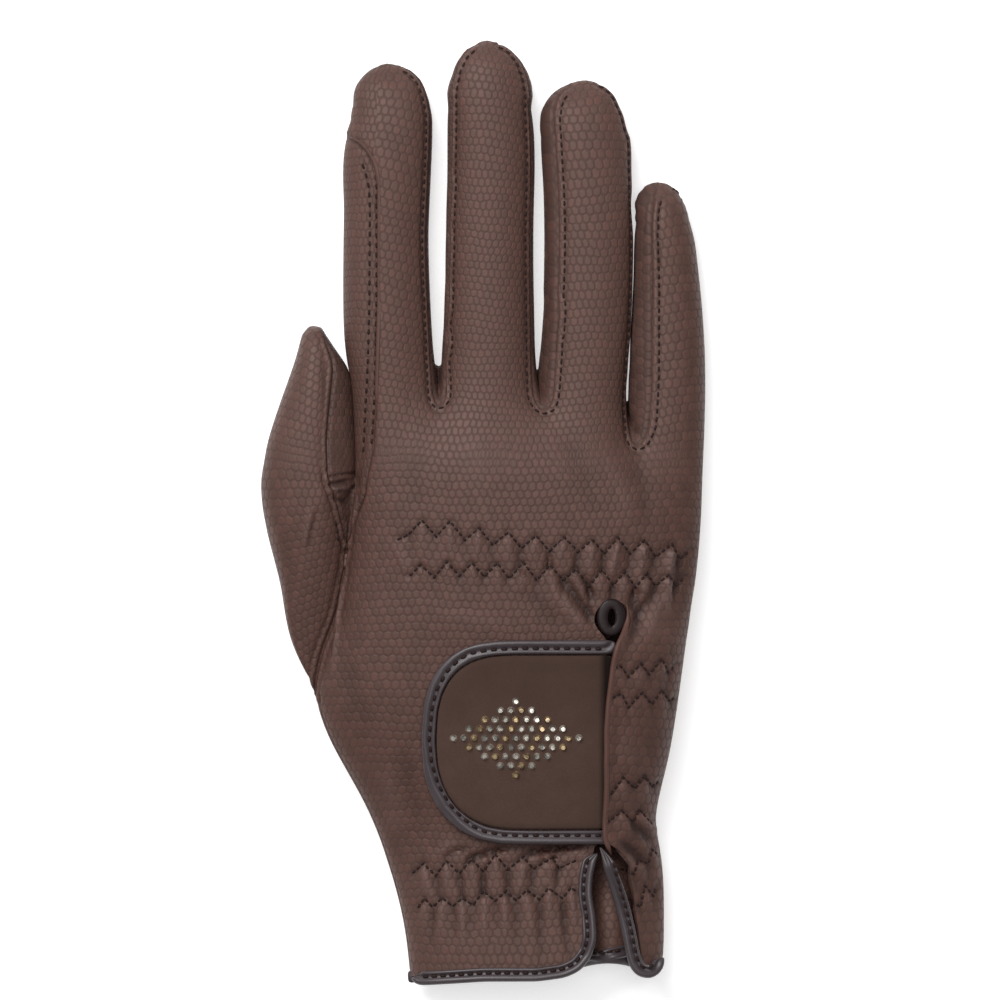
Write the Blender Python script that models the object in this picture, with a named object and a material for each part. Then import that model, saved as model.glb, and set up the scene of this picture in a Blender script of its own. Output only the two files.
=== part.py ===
"""Riding glove for the right hand, lying palm down and lightly filled: millimetres here, metres in Blender.

X runs across the hand with the thumb at -X, Y from the hem to the fingertips, Z up from the surface.
Its leather is one skin of rows and columns. Each panel is a set of its cells, given a wall of its own.
"""

from math import acos, cos, pi, radians, sin, sqrt

import bpy
import numpy as np
from mathutils import Vector

# Driving sizes, in millimetres.
HAND_LENGTH = 142.5      # from the hem to the roots of the fingers
HAND_DEPTH = 20.4        # at the knuckles
WALL = 1.2
SEAM_GAP = 0.3           # between two panels that are sewn together
BINDING_WIDTH = 3.2
BINDING_PROUD = 0.6      # how far a binding stands out from the leather, inside and outside
SLIT_ROUND = 3.0         # radius at the foot of the slit between two fingers
BLEND_BELOW = 16.0       # the hand starts to divide into fingers this far below their roots
BLEND_ABOVE = 12.0       # and the fingers are round this far above them

FINGER_LENGTH = {"index": 84.8, "middle": 91.0, "ring": 81.0, "little": 55.5}
FINGER_WIDTH = {"index": 22.0, "middle": 22.75, "ring": 23.0, "little": 17.0}
FINGER_DEPTH = {"index": 15.0, "middle": 15.4, "ring": 15.2, "little": 13.4}
TIP_LENGTH = {"index": 16.0, "middle": 15.5, "ring": 15.0, "little": 12.5}
FINGERS = ("index", "middle", "ring", "little")
FINGER_SPACES = (2.15, 0.45, 1.15)     # between a finger and the next one
PALM_WIDTH = sum(FINGER_WIDTH.values()) + sum(FINGER_SPACES)

THUMB_DEPTH = 17.0
THUMB_ROOT = 0.833       # its depth where it leaves the hand, as a share of the hand's

TAB_LENGTH = 48.5        # from its round end to the end under the right panel
TAB_TUCK = 2.9           # how far that end reaches past the vent's line
TAB_HEIGHT = 51.0
TAB_THICKNESS = 1.5
TAB_CLEARANCE = 0.4      # between the tab and the leather that it lies on
TAB_BINDING_WIDTH = 3.5
TAB_BINDING_THICKNESS = 2.0
TAB_ROUND_SHARE = 0.48   # of the tab's length, its curved end
TAB_SQUARENESS = (2.7, 2.3)   # exponents of its upper and lower corner: 2 is an ellipse, more is squarer
TAB_SHARES = (1.0, 0.84, 0.68, 0.52, 0.40, 0.29, 0.20, 0.13, 0.075, 0.035, 0.01, 0.0)
TAB_STEPS = 6

EYELET_WIDTH = 7.0
EYELET_HEIGHT = 9.2
EYELET_THICKNESS = 2.2
KEYHOLE_WIDTH = 1.6
KEYHOLE_HEIGHT = 4.0
EYELET_SIDES = 20
EYELET_GAP = 0.6         # round the eyelet, in the opening that it is set in
EYELET_TO_TAB = 1.0

# Hand, from the hem at 0 to the roots at 1: left and right edge as shares of the palm's width from its
# middle, crown as a share of the hand's depth.
HAND = {
    "along": (-0.018, 0.053, 0.105, 0.158, 0.205, 0.232, 0.258, 0.316, 0.395,
              0.474, 0.553, 0.658, 0.746, 0.833, 0.921, 1.000, 1.096),
    "left": (-0.325, -0.333, -0.347, -0.370, -0.390, -0.407, -0.422, -0.466, -0.534,
             -0.579, -0.559, -0.525, -0.506, -0.492, -0.494, -0.503, -0.508),
    "right": (0.393, 0.395, 0.395, 0.395, 0.390, 0.384, 0.369, 0.384, 0.412,
              0.432, 0.448, 0.469, 0.486, 0.494, 0.500, 0.506, 0.506),
    "crown": (0.86, 0.83, 0.81, 0.78, 0.76, 0.75, 0.75, 0.81, 0.88,
              0.93, 0.97, 1.00, 1.00, 0.98, 0.94, 0.90, 0.81),
}

# Fingers, from the level of the roots at 0 to the tip at 1: how far the centre strays from its place beside
# the other fingers, and the width, both as shares of the finger's own width.
FINGER_LINES = {
    "index": {
        "along": (0.000, 0.133, 0.310, 0.487, 0.664, 0.796, 1.000),
        "stray": (-0.017, -0.029, -0.058, -0.070, -0.049, -0.017, -0.013),
        "width": (0.989, 1.011, 1.000, 0.977, 0.989, 0.977, 0.945),
    },
    "middle": {
        "along": (0.000, 0.132, 0.288, 0.453, 0.659, 0.865, 1.000),
        "stray": (-0.013, -0.025, -0.013, -0.013, 0.010, -0.002, -0.005),
        "width": (1.055, 1.055, 1.011, 0.989, 0.989, 0.967, 0.945),
    },
    "ring": {
        "along": (0.000, 0.142, 0.324, 0.509, 0.694, 0.880, 1.000),
        "stray": (-0.012, 0.004, 0.038, 0.050, 0.046, -0.012, -0.015),
        "width": (0.924, 0.984, 1.000, 1.000, 1.011, 0.989, 1.000),
    },
    "little": {
        "along": (0.000, 0.203, 0.473, 0.743, 1.000),
        "stray": (-0.016, 0.005, 0.000, -0.036, -0.057),
        "width": (1.088, 1.044, 0.941, 0.838, 0.800),
    },
}

# Where each finger's seams run round its section, in degrees: 0 faces right, 90 up, 180 left.
FINGER_SEAMS = {
    "index": {"left": 106, "right": 22, "palm_right": -42, "palm_left": -142},
    "middle": {"left": 160, "right": 18, "palm_right": -42, "palm_left": -138},
    "ring": {"left": 130, "right": 8, "palm_right": -42, "palm_left": -138},
    "little": {"left": 114, "right": -34, "palm_right": -34, "palm_left": -138},
}

# Lines between the fingers, run on down the hand: how far they stray from the middle of the space between
# two fingers, as a share of the palm's width, along as in HAND.
FINGER_GAPS = (
    {"along": (0.0, 0.58, 1.0), "stray": (0.0543, 0.0273, 0.0023)},
    {"along": (0.0, 0.58, 1.0), "stray": (-0.0175, -0.0045, 0.0125)},
    {
        "along": (0.0, 0.22, 0.48, 0.63, 0.93, 1.0),
        "stray": (-0.0894, -0.0894, -0.0734, -0.0584, 0.0166, 0.0236),
    },
)
# Foot of each slit on the back and on the palm side, along as in HAND, from the index finger's outer side
# rightwards.
BACK_ROOTS = (1.000, 0.995, 0.988, 0.927, 0.930)
PALM_ROOTS = (1.050, 1.075, 1.068, 1.010, 1.000)

# How far the hem hangs below the start of HAND, from the index finger's outer side rightwards.
HEM_DROPS = (0.016, 0.011, 0.005, 0.000, 0.007)

# Left border of the back, in degrees round the hand: "lap" is the seam that crosses over to the index
# finger's back, "hole" is the top edge of the thumb's opening.
LEFT_BORDER = {
    "along": (0.000, 0.480, 0.700, 0.749, 0.800, 0.862, 0.921, 0.975, 1.050),
    "lap": (178, 174, 171, 169, 163, 155, 150, 146, 145),
    "hole": (186, 181, 177, 175, 174, 174, 174, 174, 174),
}
PALM_LEFT_BORDER = 232   # degrees, the lower edge of the thumb's opening
RIGHT_BORDER = -34       # degrees, where the back meets the palm on the little finger's side

# Rows of the hand that something ends at, along as in HAND.
HOLE_LOW = 0.482
HOLE_HIGH = 0.851
LAP_FOOT = 0.749
EYELET_MIDDLE = 0.678
EYELET_REACH = (EYELET_HEIGHT / 2 + EYELET_GAP) / (BACK_ROOTS[3] * HAND_LENGTH)
EYELET_LOW = EYELET_MIDDLE - EYELET_REACH
EYELET_HIGH = EYELET_MIDDLE + EYELET_REACH
TAB_TOP = EYELET_MIDDLE * BACK_ROOTS[3] * HAND_LENGTH - EYELET_HEIGHT / 2 - EYELET_TO_TAB
TAB_MIDDLE = TAB_TOP - TAB_HEIGHT / 2
TAB_LOW = (TAB_TOP - TAB_HEIGHT - 2 * TAB_CLEARANCE) / (BACK_ROOTS[3] * HAND_LENGTH)
TAB_HIGH = (TAB_TOP - 2 / 3 * TAB_BINDING_WIDTH) / (BACK_ROOTS[3] * HAND_LENGTH)

# Vent, from the hem at 0: how far its left and right edge stand from the line between ring and little
# finger, as shares of the palm's width.
VENT = {
    "along": (0.000, 0.040, 0.110, 0.170, 0.215, 0.300, 0.500, 0.555, 0.580, 0.600, 0.640, 0.720),
    "left": (0.026, 0.014, 0.008, 0.003, 0.003, 0.003, 0.003, 0.003, 0.003, 0.003, 0.003, 0.000),
    "right": (0.070, 0.066, 0.046, 0.026, 0.008, 0.003, 0.003, 0.008, 0.017, 0.020, 0.004, 0.000),
}
# The vent's right edge is lifted over the tab. The lift grows below the tab and dies away above its top.
VENT_LIFT = TAB_BINDING_THICKNESS + 3 * TAB_CLEARANCE + WALL
LIFT_RISE = 15.0
LIFT_FALL = 7.5
LIFT_BELOW = {"along": (0.0, 0.57, 1.0), "lift": (0.00, 0.35, 1.00)}
LIFT_ABOVE = {"along": (0.0, 0.33, 1.0), "lift": (1.00, 0.45, 0.00)}
LIFT_FULL = 0.20         # the lift is full from the vent's edge to this share of the strip beside it,
LIFT_END = 0.80          # and has run out here

# Thumb, from its opening to its tip: outer and inner edge as shares of the palm's width (x) and the hand's
# length (along), depth as a share of the thumb's, round is how far it has left the opening's outline.
THUMB = {
    "outer_x": (-0.548, -0.625, -0.686, -0.717, -0.735, -0.748, -0.740, -0.714, -0.688, -0.655, -0.640),
    "outer_along": (0.482, 0.555, 0.650, 0.745, 0.815, 0.872, 0.925, 0.974, 1.021, 1.075, 1.110),
    "inner_x": (-0.506, -0.508, -0.510, -0.510, -0.509, -0.508, -0.508, -0.510, -0.516, -0.527, -0.556),
    "inner_along": (0.851, 0.858, 0.865, 0.872, 0.881, 0.900, 0.930, 0.974, 1.021, 1.072, 1.108),
    "depth": (1.00, 1.00, 1.00, 1.00, 0.99, 0.98, 0.96, 0.93, 0.89, 0.82, 0.74),
    "round": (0.00, 0.35, 0.75, 1.00, 1.00, 1.00, 1.00, 1.00, 1.00, 1.00, 1.00),
}
THUMB_TIP = {"x": -0.597, "along": 1.140, "fullness": (0.90, 0.72, 0.42)}
GUSSET_STATION = 4       # the thumb's gusset reaches to this station
THUMB_LEAN = 0.22        # how far the thumb's crown leans inwards
THUMB_CORNER = 32        # degrees above and below level at which the thumb's back and underside begin

# How fine the skin is.
BACK_SHARES = (
    (0.0, 0.25, 0.5, 0.75, 1.0),
    (0.0, 0.25, 0.5, 0.75, 1.0),
    (0.0, 0.25, 0.5, 0.72, 0.88, 1.0),
    (0.0, 0.14, 0.34, 0.58, 0.8, 1.0),
)
PALM_COLUMNS = 3
SIDE_COLUMNS = 3
HAND_STOPS = (0.0, BINDING_WIDTH / HAND_LENGTH, TAB_LOW, HOLE_LOW, TAB_HIGH, EYELET_LOW, EYELET_MIDDLE,
              EYELET_HIGH, LAP_FOOT, HOLE_HIGH, 1.0)
HAND_STEPS = (1, 4, 5, 3, 1, 2, 2, 1, 2, 4)
FINGER_STEPS = 7
ROOT_CLOSENESS = 1.5     # rows are closer at the root, where the slit is round
TIP_FULLNESS = (0.96, 0.86, 0.68, 0.45, 0.24)
TIP_LINE = 0.10          # half the closing line of a fingertip, as a share of the finger's width

FLATNESS = 0.86          # exponent of the sections: 1 is an ellipse, less is squarer
WIDEST_SHARE = 0.45      # height of a section's widest place, as a share of its depth
REST_SHARE = 1.2         # how deep a section would reach below that place, if the surface didn't flatten it
TIP_HEIGHT = 0.42        # height of a tip's closing line, as a share of the depth there
FINGER_THINNING = 0.12   # how much thinner a finger is at its tip than at its root
HEM_LIFT = 1.4 * BINDING_PROUD
HEM_LIFT_REACH = 3 * BINDING_WIDTH


# Curves through a table's rows

def smooth(t):
    t = min(1.0, max(0.0, t))
    return t * t * (3 - 2 * t)


def read(table, column, at, key="along"):
    """A table's column at a place between its rows, on a smooth curve that never overshoots them."""
    places = table[key]
    values = table[column]
    last = len(places) - 1
    at = min(places[-1], max(places[0], at))
    index = max(i for i in range(last) if places[i] <= at)
    slopes = [(values[i + 1] - values[i]) / (places[i + 1] - places[i]) for i in range(last)]

    def tangent(i):
        if i == 0:
            return slopes[0]
        if i == last:
            return slopes[-1]
        if slopes[i - 1] * slopes[i] <= 0:
            return 0.0
        return 2 * slopes[i - 1] * slopes[i] / (slopes[i - 1] + slopes[i])

    span = places[index + 1] - places[index]
    t = (at - places[index]) / span
    low = values[index] * (1 + 2 * t) * (1 - t) ** 2 + tangent(index) * span * t * (1 - t) ** 2
    return low + values[index + 1] * (3 - 2 * t) * t * t - tangent(index + 1) * span * t * t * (1 - t)


# Sections

def power(value, exponent):
    return abs(value) ** exponent * (1 if value > 0 else -1)


def section(angle, depth, floor=0.0):
    """Across (-1 to 1) and up, for a soft tube of this depth that the surface flattens below."""
    across = power(cos(radians(angle)), FLATNESS)
    up = power(sin(radians(angle)), FLATNESS)
    middle = depth * WIDEST_SHARE
    if up > 0:
        return across, middle + (depth - middle) * up
    return across, max(floor, middle + middle * REST_SHARE * up)


def hem_floor(y):
    """The palm's hem lies this much above the surface, on its binding."""
    return HEM_LIFT * (1 - smooth((y - BINDING_WIDTH) / HEM_LIFT_REACH))


def hand_edges(y):
    along = y / HAND_LENGTH
    return read(HAND, "left", along) * PALM_WIDTH, read(HAND, "right", along) * PALM_WIDTH


def hand_point(angle, y):
    left, right = hand_edges(y)
    crown = read(HAND, "crown", y / HAND_LENGTH) * HAND_DEPTH
    across, up = section(angle, crown, hem_floor(y))
    return Vector(((left + right) / 2 + across * (right - left) / 2, y, up))


def hand_angle(x, y, side):
    """The angle round the hand at which its back (side 1) or palm (side -1) is at x."""
    left, right = hand_edges(y)
    share = (2 * x - left - right) / (right - left)
    share = min(0.999, max(-0.999, share))
    return side * acos(power(share, 1 / FLATNESS)) * 180 / pi


def back_z(x, y):
    """Height of the back of the hand."""
    return hand_point(hand_angle(x, y, 1), y).z


def finger_left(finger):
    """x of the left side of a finger's place, side by side with the others across the palm."""
    widths = [FINGER_WIDTH[name] for name in FINGERS[:finger]]
    return -PALM_WIDTH / 2 + sum(widths) + sum(FINGER_SPACES[:finger])


def finger_centre(name, along):
    own = FINGER_WIDTH[name]
    return finger_left(FINGERS.index(name)) + own / 2 + read(FINGER_LINES[name], "stray", along) * own


def finger_point(name, angle, y):
    length = FINGER_LENGTH[name]
    along = (y - HAND_LENGTH) / length
    centre = finger_centre(name, along)
    width = read(FINGER_LINES[name], "width", along) * FINGER_WIDTH[name]
    from_tip = max(0.0, length + HAND_LENGTH - y)
    tip = min(1.0, from_tip / TIP_LENGTH[name])
    full = sqrt(1 - (1 - tip) ** 2)
    depth = FINGER_DEPTH[name] * (1 - FINGER_THINNING * smooth(along))
    across, up = section(angle, depth)
    low = TIP_HEIGHT * depth * (1 - full)
    return Vector((centre + across * width / 2 * full, y, low + up * full))


# The skin: points by key, cells by panel

points = {}
cells = {}


def add_cell(panel, corners):
    kept = []
    for corner in corners:
        if corner not in kept:
            kept.append(corner)
    if len(kept) > 2:
        cells.setdefault(panel, []).append(kept)


def line_y(shares, place):
    """Height of a line across the hand at a place from 0, the index finger's outer side, to 4."""
    low = min(3, int(place))
    return HAND_LENGTH * (shares[low] + (shares[low + 1] - shares[low]) * (place - low))


def row_y(root, place, along):
    """Height of a row of the hand, from the hem at 0 to a root at 1."""
    hem = -line_y(HEM_DROPS, place)
    return hem + (root - hem) * along


def gap_line(gap, y):
    """x of the line between two fingers as it runs down the hand."""
    stray = read(FINGER_GAPS[gap], "stray", y / HAND_LENGTH)
    return finger_left(gap + 1) - FINGER_SPACES[gap] / 2 + stray * PALM_WIDTH


def gap_x(finger, side, y):
    """x of the line on a finger's left (side 0) or right (side 1), with the vent and the eyelet between."""
    gap = finger - 1 + side
    x = gap_line(gap, y)
    if gap == 2:
        apart = read(VENT, "left" if side else "right", y / HAND_LENGTH) * PALM_WIDTH + eyelet_half_width(y)
        x += -apart if side else apart
    return x


def eyelet_half_width(y):
    """Half the width of the opening that the eyelet sits in."""
    middle = EYELET_MIDDLE * line_y(BACK_ROOTS, 3)
    share = (y - middle) / (EYELET_REACH * line_y(BACK_ROOTS, 3))
    return (EYELET_WIDTH / 2 + EYELET_GAP) * sqrt(1 - share * share) if abs(share) < 1 else 0.0


def back_angles(finger, y):
    along = y / HAND_LENGTH
    left = read(LEFT_BORDER, "lap", along) if finger == 0 else hand_angle(gap_x(finger, 0, y), y, 1)
    right = RIGHT_BORDER if finger == 3 else hand_angle(gap_x(finger, 1, y), y, 1)
    return left, right


def palm_angles(finger, y):
    left = PALM_LEFT_BORDER - 360 if finger == 0 else hand_angle(gap_x(finger, 0, y), y, -1)
    right = RIGHT_BORDER if finger == 3 else hand_angle(gap_x(finger, 1, y), y, -1)
    return left, right


def finger_share(y, root):
    return smooth((y - root + BLEND_BELOW) / (BLEND_BELOW + BLEND_ABOVE))


def loose_point(face, finger, share, y):
    """A point of a finger's strip of the back or palm before it meets its neighbour's."""
    name = FINGERS[finger]
    seams = FINGER_SEAMS[name]
    if face == "back":
        left, right = back_angles(finger, y)
        angles = seams["left"], seams["right"]
        roots = BACK_ROOTS
    else:
        left, right = palm_angles(finger, y)
        angles = seams["palm_left"], seams["palm_right"]
        roots = PALM_ROOTS
    on_hand = hand_point(left + (right - left) * share, y)
    blend = finger_share(y, line_y(roots, finger + share))
    if blend == 0:
        return on_hand
    on_finger = finger_point(name, angles[0] + (angles[1] - angles[0]) * share, y)
    return on_hand.lerp(on_finger, blend)


def slit_pull(above):
    """How much of the way two edges are still drawn together at this height above the foot of their slit."""
    if above >= SLIT_ROUND:
        return 0.0
    return 1 - sqrt(1 - (1 - max(0.0, above) / SLIT_ROUND) ** 2)


def strip_point(face, finger, share, y):
    """A point of a finger's strip, drawn to its neighbours' edges at and below the slits."""
    point = loose_point(face, finger, share, y)
    roots = BACK_ROOTS if face == "back" else PALM_ROOTS
    for side, neighbour in ((0, finger - 1), (1, finger + 1)):
        reach = 1 - 2 * abs(share - side)
        if neighbour < 0 or neighbour > 3 or reach <= 0:
            continue
        if face == "back" and finger + side == 3 and y < EYELET_HIGH * line_y(BACK_ROOTS, 3):
            continue
        foot = line_y(roots, finger + side)
        meet = min(y, foot)
        own = loose_point(face, finger, side, meet)
        other = loose_point(face, neighbour, 1 - side, meet)
        point += (other - own) * (0.5 * reach * reach * slit_pull(y - foot))
    if face == "back" and finger == 3:
        point.z += vent_lift(y) * (1 - smooth((share - LIFT_FULL) / (LIFT_END - LIFT_FULL)))
    return point


def vent_lift(y):
    """How high the vent's right edge stands over the tab."""
    full_from = TAB_TOP - TAB_HEIGHT - 2 / 3 * TAB_BINDING_WIDTH
    full_to = TAB_TOP
    if y < full_from:
        return VENT_LIFT * read(LIFT_BELOW, "lift", 1 - (full_from - y) / LIFT_RISE)
    return VENT_LIFT * read(LIFT_ABOVE, "lift", (y - full_to) / LIFT_FALL)


# Rows

hand_rows = [HAND_STOPS[0]]
for start, stop, steps in zip(HAND_STOPS, HAND_STOPS[1:], HAND_STEPS):
    hand_rows += [start + (stop - start) * (i + 1) / steps for i in range(steps)]


def row_of(share):
    return min(range(len(hand_rows)), key=lambda i: abs(hand_rows[i] - share))


def finger_rows():
    """Heights above a root, each as (share of the way to the tip's foot, share of the tip's own length)."""
    rows = [((i / FINGER_STEPS) ** ROOT_CLOSENESS, 0.0) for i in range(1, FINGER_STEPS + 1)]
    rows += [(1.0, sqrt(1 - full * full)) for full in TIP_FULLNESS]
    return rows


def finger_y(name, root, row):
    tip_foot = HAND_LENGTH + FINGER_LENGTH[name] - TIP_LENGTH[name]
    body, tip = row
    return root + (tip_foot - root) * body + TIP_LENGTH[name] * tip


def thumb_side_point(share, along_row, y):
    """The thumb side of hand and index finger, from the lap seam at 0 to the palm's left border at 1."""
    root = line_y(BACK_ROOTS, 0) * (1 - share) + line_y(PALM_ROOTS, 0) * share
    if y is None:
        y = row_y(root, 0, along_row)
    blend = finger_share(y, root)
    if blend == 0:
        return hand_side_point(share, y)
    seams = FINGER_SEAMS["index"]
    angle = seams["left"] + (seams["palm_left"] + 360 - seams["left"]) * share
    return hand_side_point(share, y).lerp(finger_point("index", angle, y), blend)


def fourchette_row(finger, side, back, palm):
    """The points between a back edge and a palm edge on one side of a finger."""
    name = FINGERS[finger]
    seams = FINGER_SEAMS[name]
    if side == 1:
        start, stop = seams["right"], seams["palm_right"]
    else:
        start, stop = seams["left"], seams["palm_left"] + 360
    back_shift = back - finger_point(name, start, back.y)
    palm_shift = palm - finger_point(name, stop, palm.y)
    made = []
    for i in range(1, SIDE_COLUMNS):
        share = i / SIDE_COLUMNS
        y = back.y + (palm.y - back.y) * share
        point = finger_point(name, start + (stop - start) * share, y)
        made.append(point + back_shift.lerp(palm_shift, share))
    return made


def hand_side_point(share, y):
    """The hand's thumb side, from the lap seam at 0 to the palm's left border at 1, the wrap first."""
    along = y / HAND_LENGTH
    lap = read(LEFT_BORDER, "lap", along)
    hole = read(LEFT_BORDER, "hole", along)
    first = 1 / (SIDE_COLUMNS + 1)
    if share <= first:
        return hand_point(lap + (hole - lap) * share / first, y)
    rest = (share - first) / (1 - first)
    return hand_point(hole + (PALM_LEFT_BORDER - hole) * rest, y)


# Laying out the skin

def strip_shares(face, finger):
    if face == "back":
        return BACK_SHARES[finger]
    return tuple(i / PALM_COLUMNS for i in range(PALM_COLUMNS + 1))


def key_of(face, finger, column, row):
    """One key for a point that two strips share, at a root or on the little finger's side."""
    columns = len(strip_shares(face, finger)) - 1
    at_vent = face == "back" and finger == 3 and row < row_of(EYELET_HIGH)
    if column == 0 and finger > 0 and row < len(hand_rows) and not at_vent:
        return (face, finger - 1, len(strip_shares(face, finger - 1)) - 1, row)
    if face == "palm" and finger == 3 and column == columns:
        return ("back", 3, len(strip_shares("back", 3)) - 1, row)
    return (face, finger, column, row)


def lay_strip(face, finger):
    name = FINGERS[finger]
    roots = BACK_ROOTS if face == "back" else PALM_ROOTS
    shares = strip_shares(face, finger)
    for column, share in enumerate(shares):
        root = line_y(roots, finger + share)
        heights = [row_y(root, finger + share, along) for along in hand_rows]
        heights += [finger_y(name, root, row) for row in finger_rows()]
        for row, y in enumerate(heights):
            key = key_of(face, finger, column, row)
            if key not in points:
                points[key] = strip_point(face, finger, share, y)


def lay_tip(finger):
    """The closing line of a fingertip, on which back and palm meet."""
    name = FINGERS[finger]
    y = HAND_LENGTH + FINGER_LENGTH[name]
    centre = finger_centre(name, 1.0)
    half = TIP_LINE * FINGER_WIDTH[name]
    z = TIP_HEIGHT * FINGER_DEPTH[name] * (1 - FINGER_THINNING)
    for i in range(PALM_COLUMNS + 1):
        points[("tip", finger, i)] = Vector((centre + half * (2 * i / PALM_COLUMNS - 1), y, z))


def strip_columns(face, finger, row):
    """The keys across a strip at one row, left to right."""
    last = len(hand_rows) - 1 + len(finger_rows())
    count = len(strip_shares(face, finger))
    if row <= last:
        return [key_of(face, finger, column, row) for column in range(count)]
    if face == "palm":
        return [("tip", finger, i) for i in range(PALM_COLUMNS + 1)]
    picks = [round(i * PALM_COLUMNS / (count - 1)) for i in range(count)]
    return [("tip", finger, i) for i in picks]


def side_keys(finger, side, row):
    """The keys from back to palm on one side of a finger, at one row from the roots up."""
    root = len(hand_rows) - 1
    back = strip_columns("back", finger, row)[-1 if side else 0]
    palm = strip_columns("palm", finger, row)[-1 if side else 0]
    columns = SIDE_COLUMNS + (finger + side == 0)
    if row > root + len(finger_rows()):
        return [back] * columns + [palm]
    if row == root and finger + side > 0:
        middle = [("crotch", finger + side, i) for i in range(1, columns)]
    else:
        middle = [("side", finger, side, row, i) for i in range(1, columns)]
    return [back] + middle + [palm]


def finger_sides():
    """Each side of a finger that a fourchette runs along, as (finger, side)."""
    return [(finger, side) for finger in range(4) for side in (0, 1) if 0 < finger + side < 4]


def lay_fourchettes():
    """Between two fingers the lowest row is shared, halfway between what each finger asks for."""
    root = len(hand_rows) - 1
    asked = {}
    for finger, side in finger_sides():
        for row in range(root, root + len(finger_rows()) + 1):
            keys = side_keys(finger, side, row)
            made = fourchette_row(finger, side, points[keys[0]], points[keys[-1]])
            for key, point in zip(keys[1:-1], made):
                asked.setdefault(key, []).append(point)
    for key, made in asked.items():
        points[key] = sum(made, Vector()) / len(made)


def lay_thumb_side():
    """The thumb side of the hand and of the index finger."""
    top = len(hand_rows) - 1
    for i in range(1, SIDE_COLUMNS + 1):
        share = i / (SIDE_COLUMNS + 1)
        for row, along in enumerate(hand_rows):
            points[("side", 0, 0, row, i)] = thumb_side_point(share, along, None)
        for row in range(top + 1, top + len(finger_rows()) + 1):
            keys = side_keys(0, 0, row)
            y = points[keys[0]].y + (points[keys[-1]].y - points[keys[0]].y) * share
            points[("side", 0, 0, row, i)] = thumb_side_point(share, None, y)


def hand_side_keys(row):
    middle = [("side", 0, 0, row, i) for i in range(1, SIDE_COLUMNS + 1)]
    return [strip_columns("back", 0, row)[0]] + middle + [strip_columns("palm", 0, row)[0]]


def is_binding(finger, column, row):
    """Cells of the cuff's binding on the back: its hem and both edges of the vent."""
    columns = len(strip_shares("back", finger)) - 1
    if row == 0:
        return True
    at_vent = (finger == 2 and column == columns - 1) or (finger == 3 and column == 0)
    return at_vent and row < row_of(TAB_LOW)


def cut_strips():
    last = len(hand_rows) - 1 + len(finger_rows())
    for finger in range(4):
        for row in range(last + 1):
            low, high = strip_columns("back", finger, row), strip_columns("back", finger, row + 1)
            for i in range(len(low) - 1):
                panel = "cuff_binding" if is_binding(finger, i, row) else "back_panel"
                add_cell(panel, (low[i], low[i + 1], high[i + 1], high[i]))
            low, high = strip_columns("palm", finger, row), strip_columns("palm", finger, row + 1)
            for i in range(len(low) - 1):
                panel = "cuff_binding" if row == 0 else "palm_panel"
                add_cell(panel, (low[i + 1], low[i], high[i], high[i + 1]))


def cut_sides():
    root = len(hand_rows) - 1
    panels = ("palm_panel", "fourchette_index_middle", "fourchette_middle_ring", "fourchette_ring_little")
    for finger, side in [(0, 0)] + finger_sides():
        for row in range(root, root + len(finger_rows()) + 1):
            low, high = side_keys(finger, side, row), side_keys(finger, side, row + 1)
            for i in range(len(low) - 1):
                quad = (low[i], low[i + 1], high[i + 1], high[i])
                add_cell(panels[finger + side], quad if side else quad[::-1])


def cut_hand_side():
    low_row, high_row, lap_row = row_of(HOLE_LOW), row_of(HOLE_HIGH), row_of(LAP_FOOT)
    for row in range(len(hand_rows) - 1):
        low, high = hand_side_keys(row), hand_side_keys(row + 1)
        for i in range(SIDE_COLUMNS + 1):
            if i > 0 and low_row <= row < high_row:
                continue
            panel = "palm_panel"
            if i == 0 and row < lap_row:
                panel = "back_panel"
            if row == 0:
                panel = "cuff_binding"
            add_cell(panel, (low[i], high[i], high[i + 1], low[i + 1]))


# The thumb, from the opening in the hand

def thumb_ring_keys():
    """The opening's edge, in order: its top towards the web, the web's end, its underside, the hem's end."""
    low_row, high_row = row_of(HOLE_LOW), row_of(HOLE_HIGH)
    top = [("side", 0, 0, row, 1) for row in range(low_row, high_row + 1)]
    inner = hand_side_keys(high_row)[2:-1]
    bottom = [strip_columns("palm", 0, row)[0] for row in range(high_row, low_row - 1, -1)]
    outer = hand_side_keys(low_row)[2:-1][::-1]
    return top, inner, bottom, outer


def lay_thumb():
    top, inner, bottom, outer = thumb_ring_keys()
    base = top + inner + bottom + outer
    across = len(top) - 1
    ends = len(inner) + 1
    wide = 180 - 2 * THUMB_CORNER
    angles = [180 - THUMB_CORNER - wide * i / across for i in range(across + 1)]
    angles += [THUMB_CORNER * (1 - 2 * i / ends) for i in range(1, ends)]
    angles += [-THUMB_CORNER - wide * i / across for i in range(across + 1)]
    angles += [-180 + THUMB_CORNER * (1 - 2 * i / ends) for i in range(1, ends)]
    rings = [base]
    for station in range(1, len(THUMB["depth"]) + len(THUMB_TIP["fullness"])):
        ring = []
        for i, angle in enumerate(angles):
            key = ("thumb", station, i)
            points[key] = thumb_point(station, angle, points[base[i]])
            ring.append(key)
        rings.append(ring)
    return rings, across, ends


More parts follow.
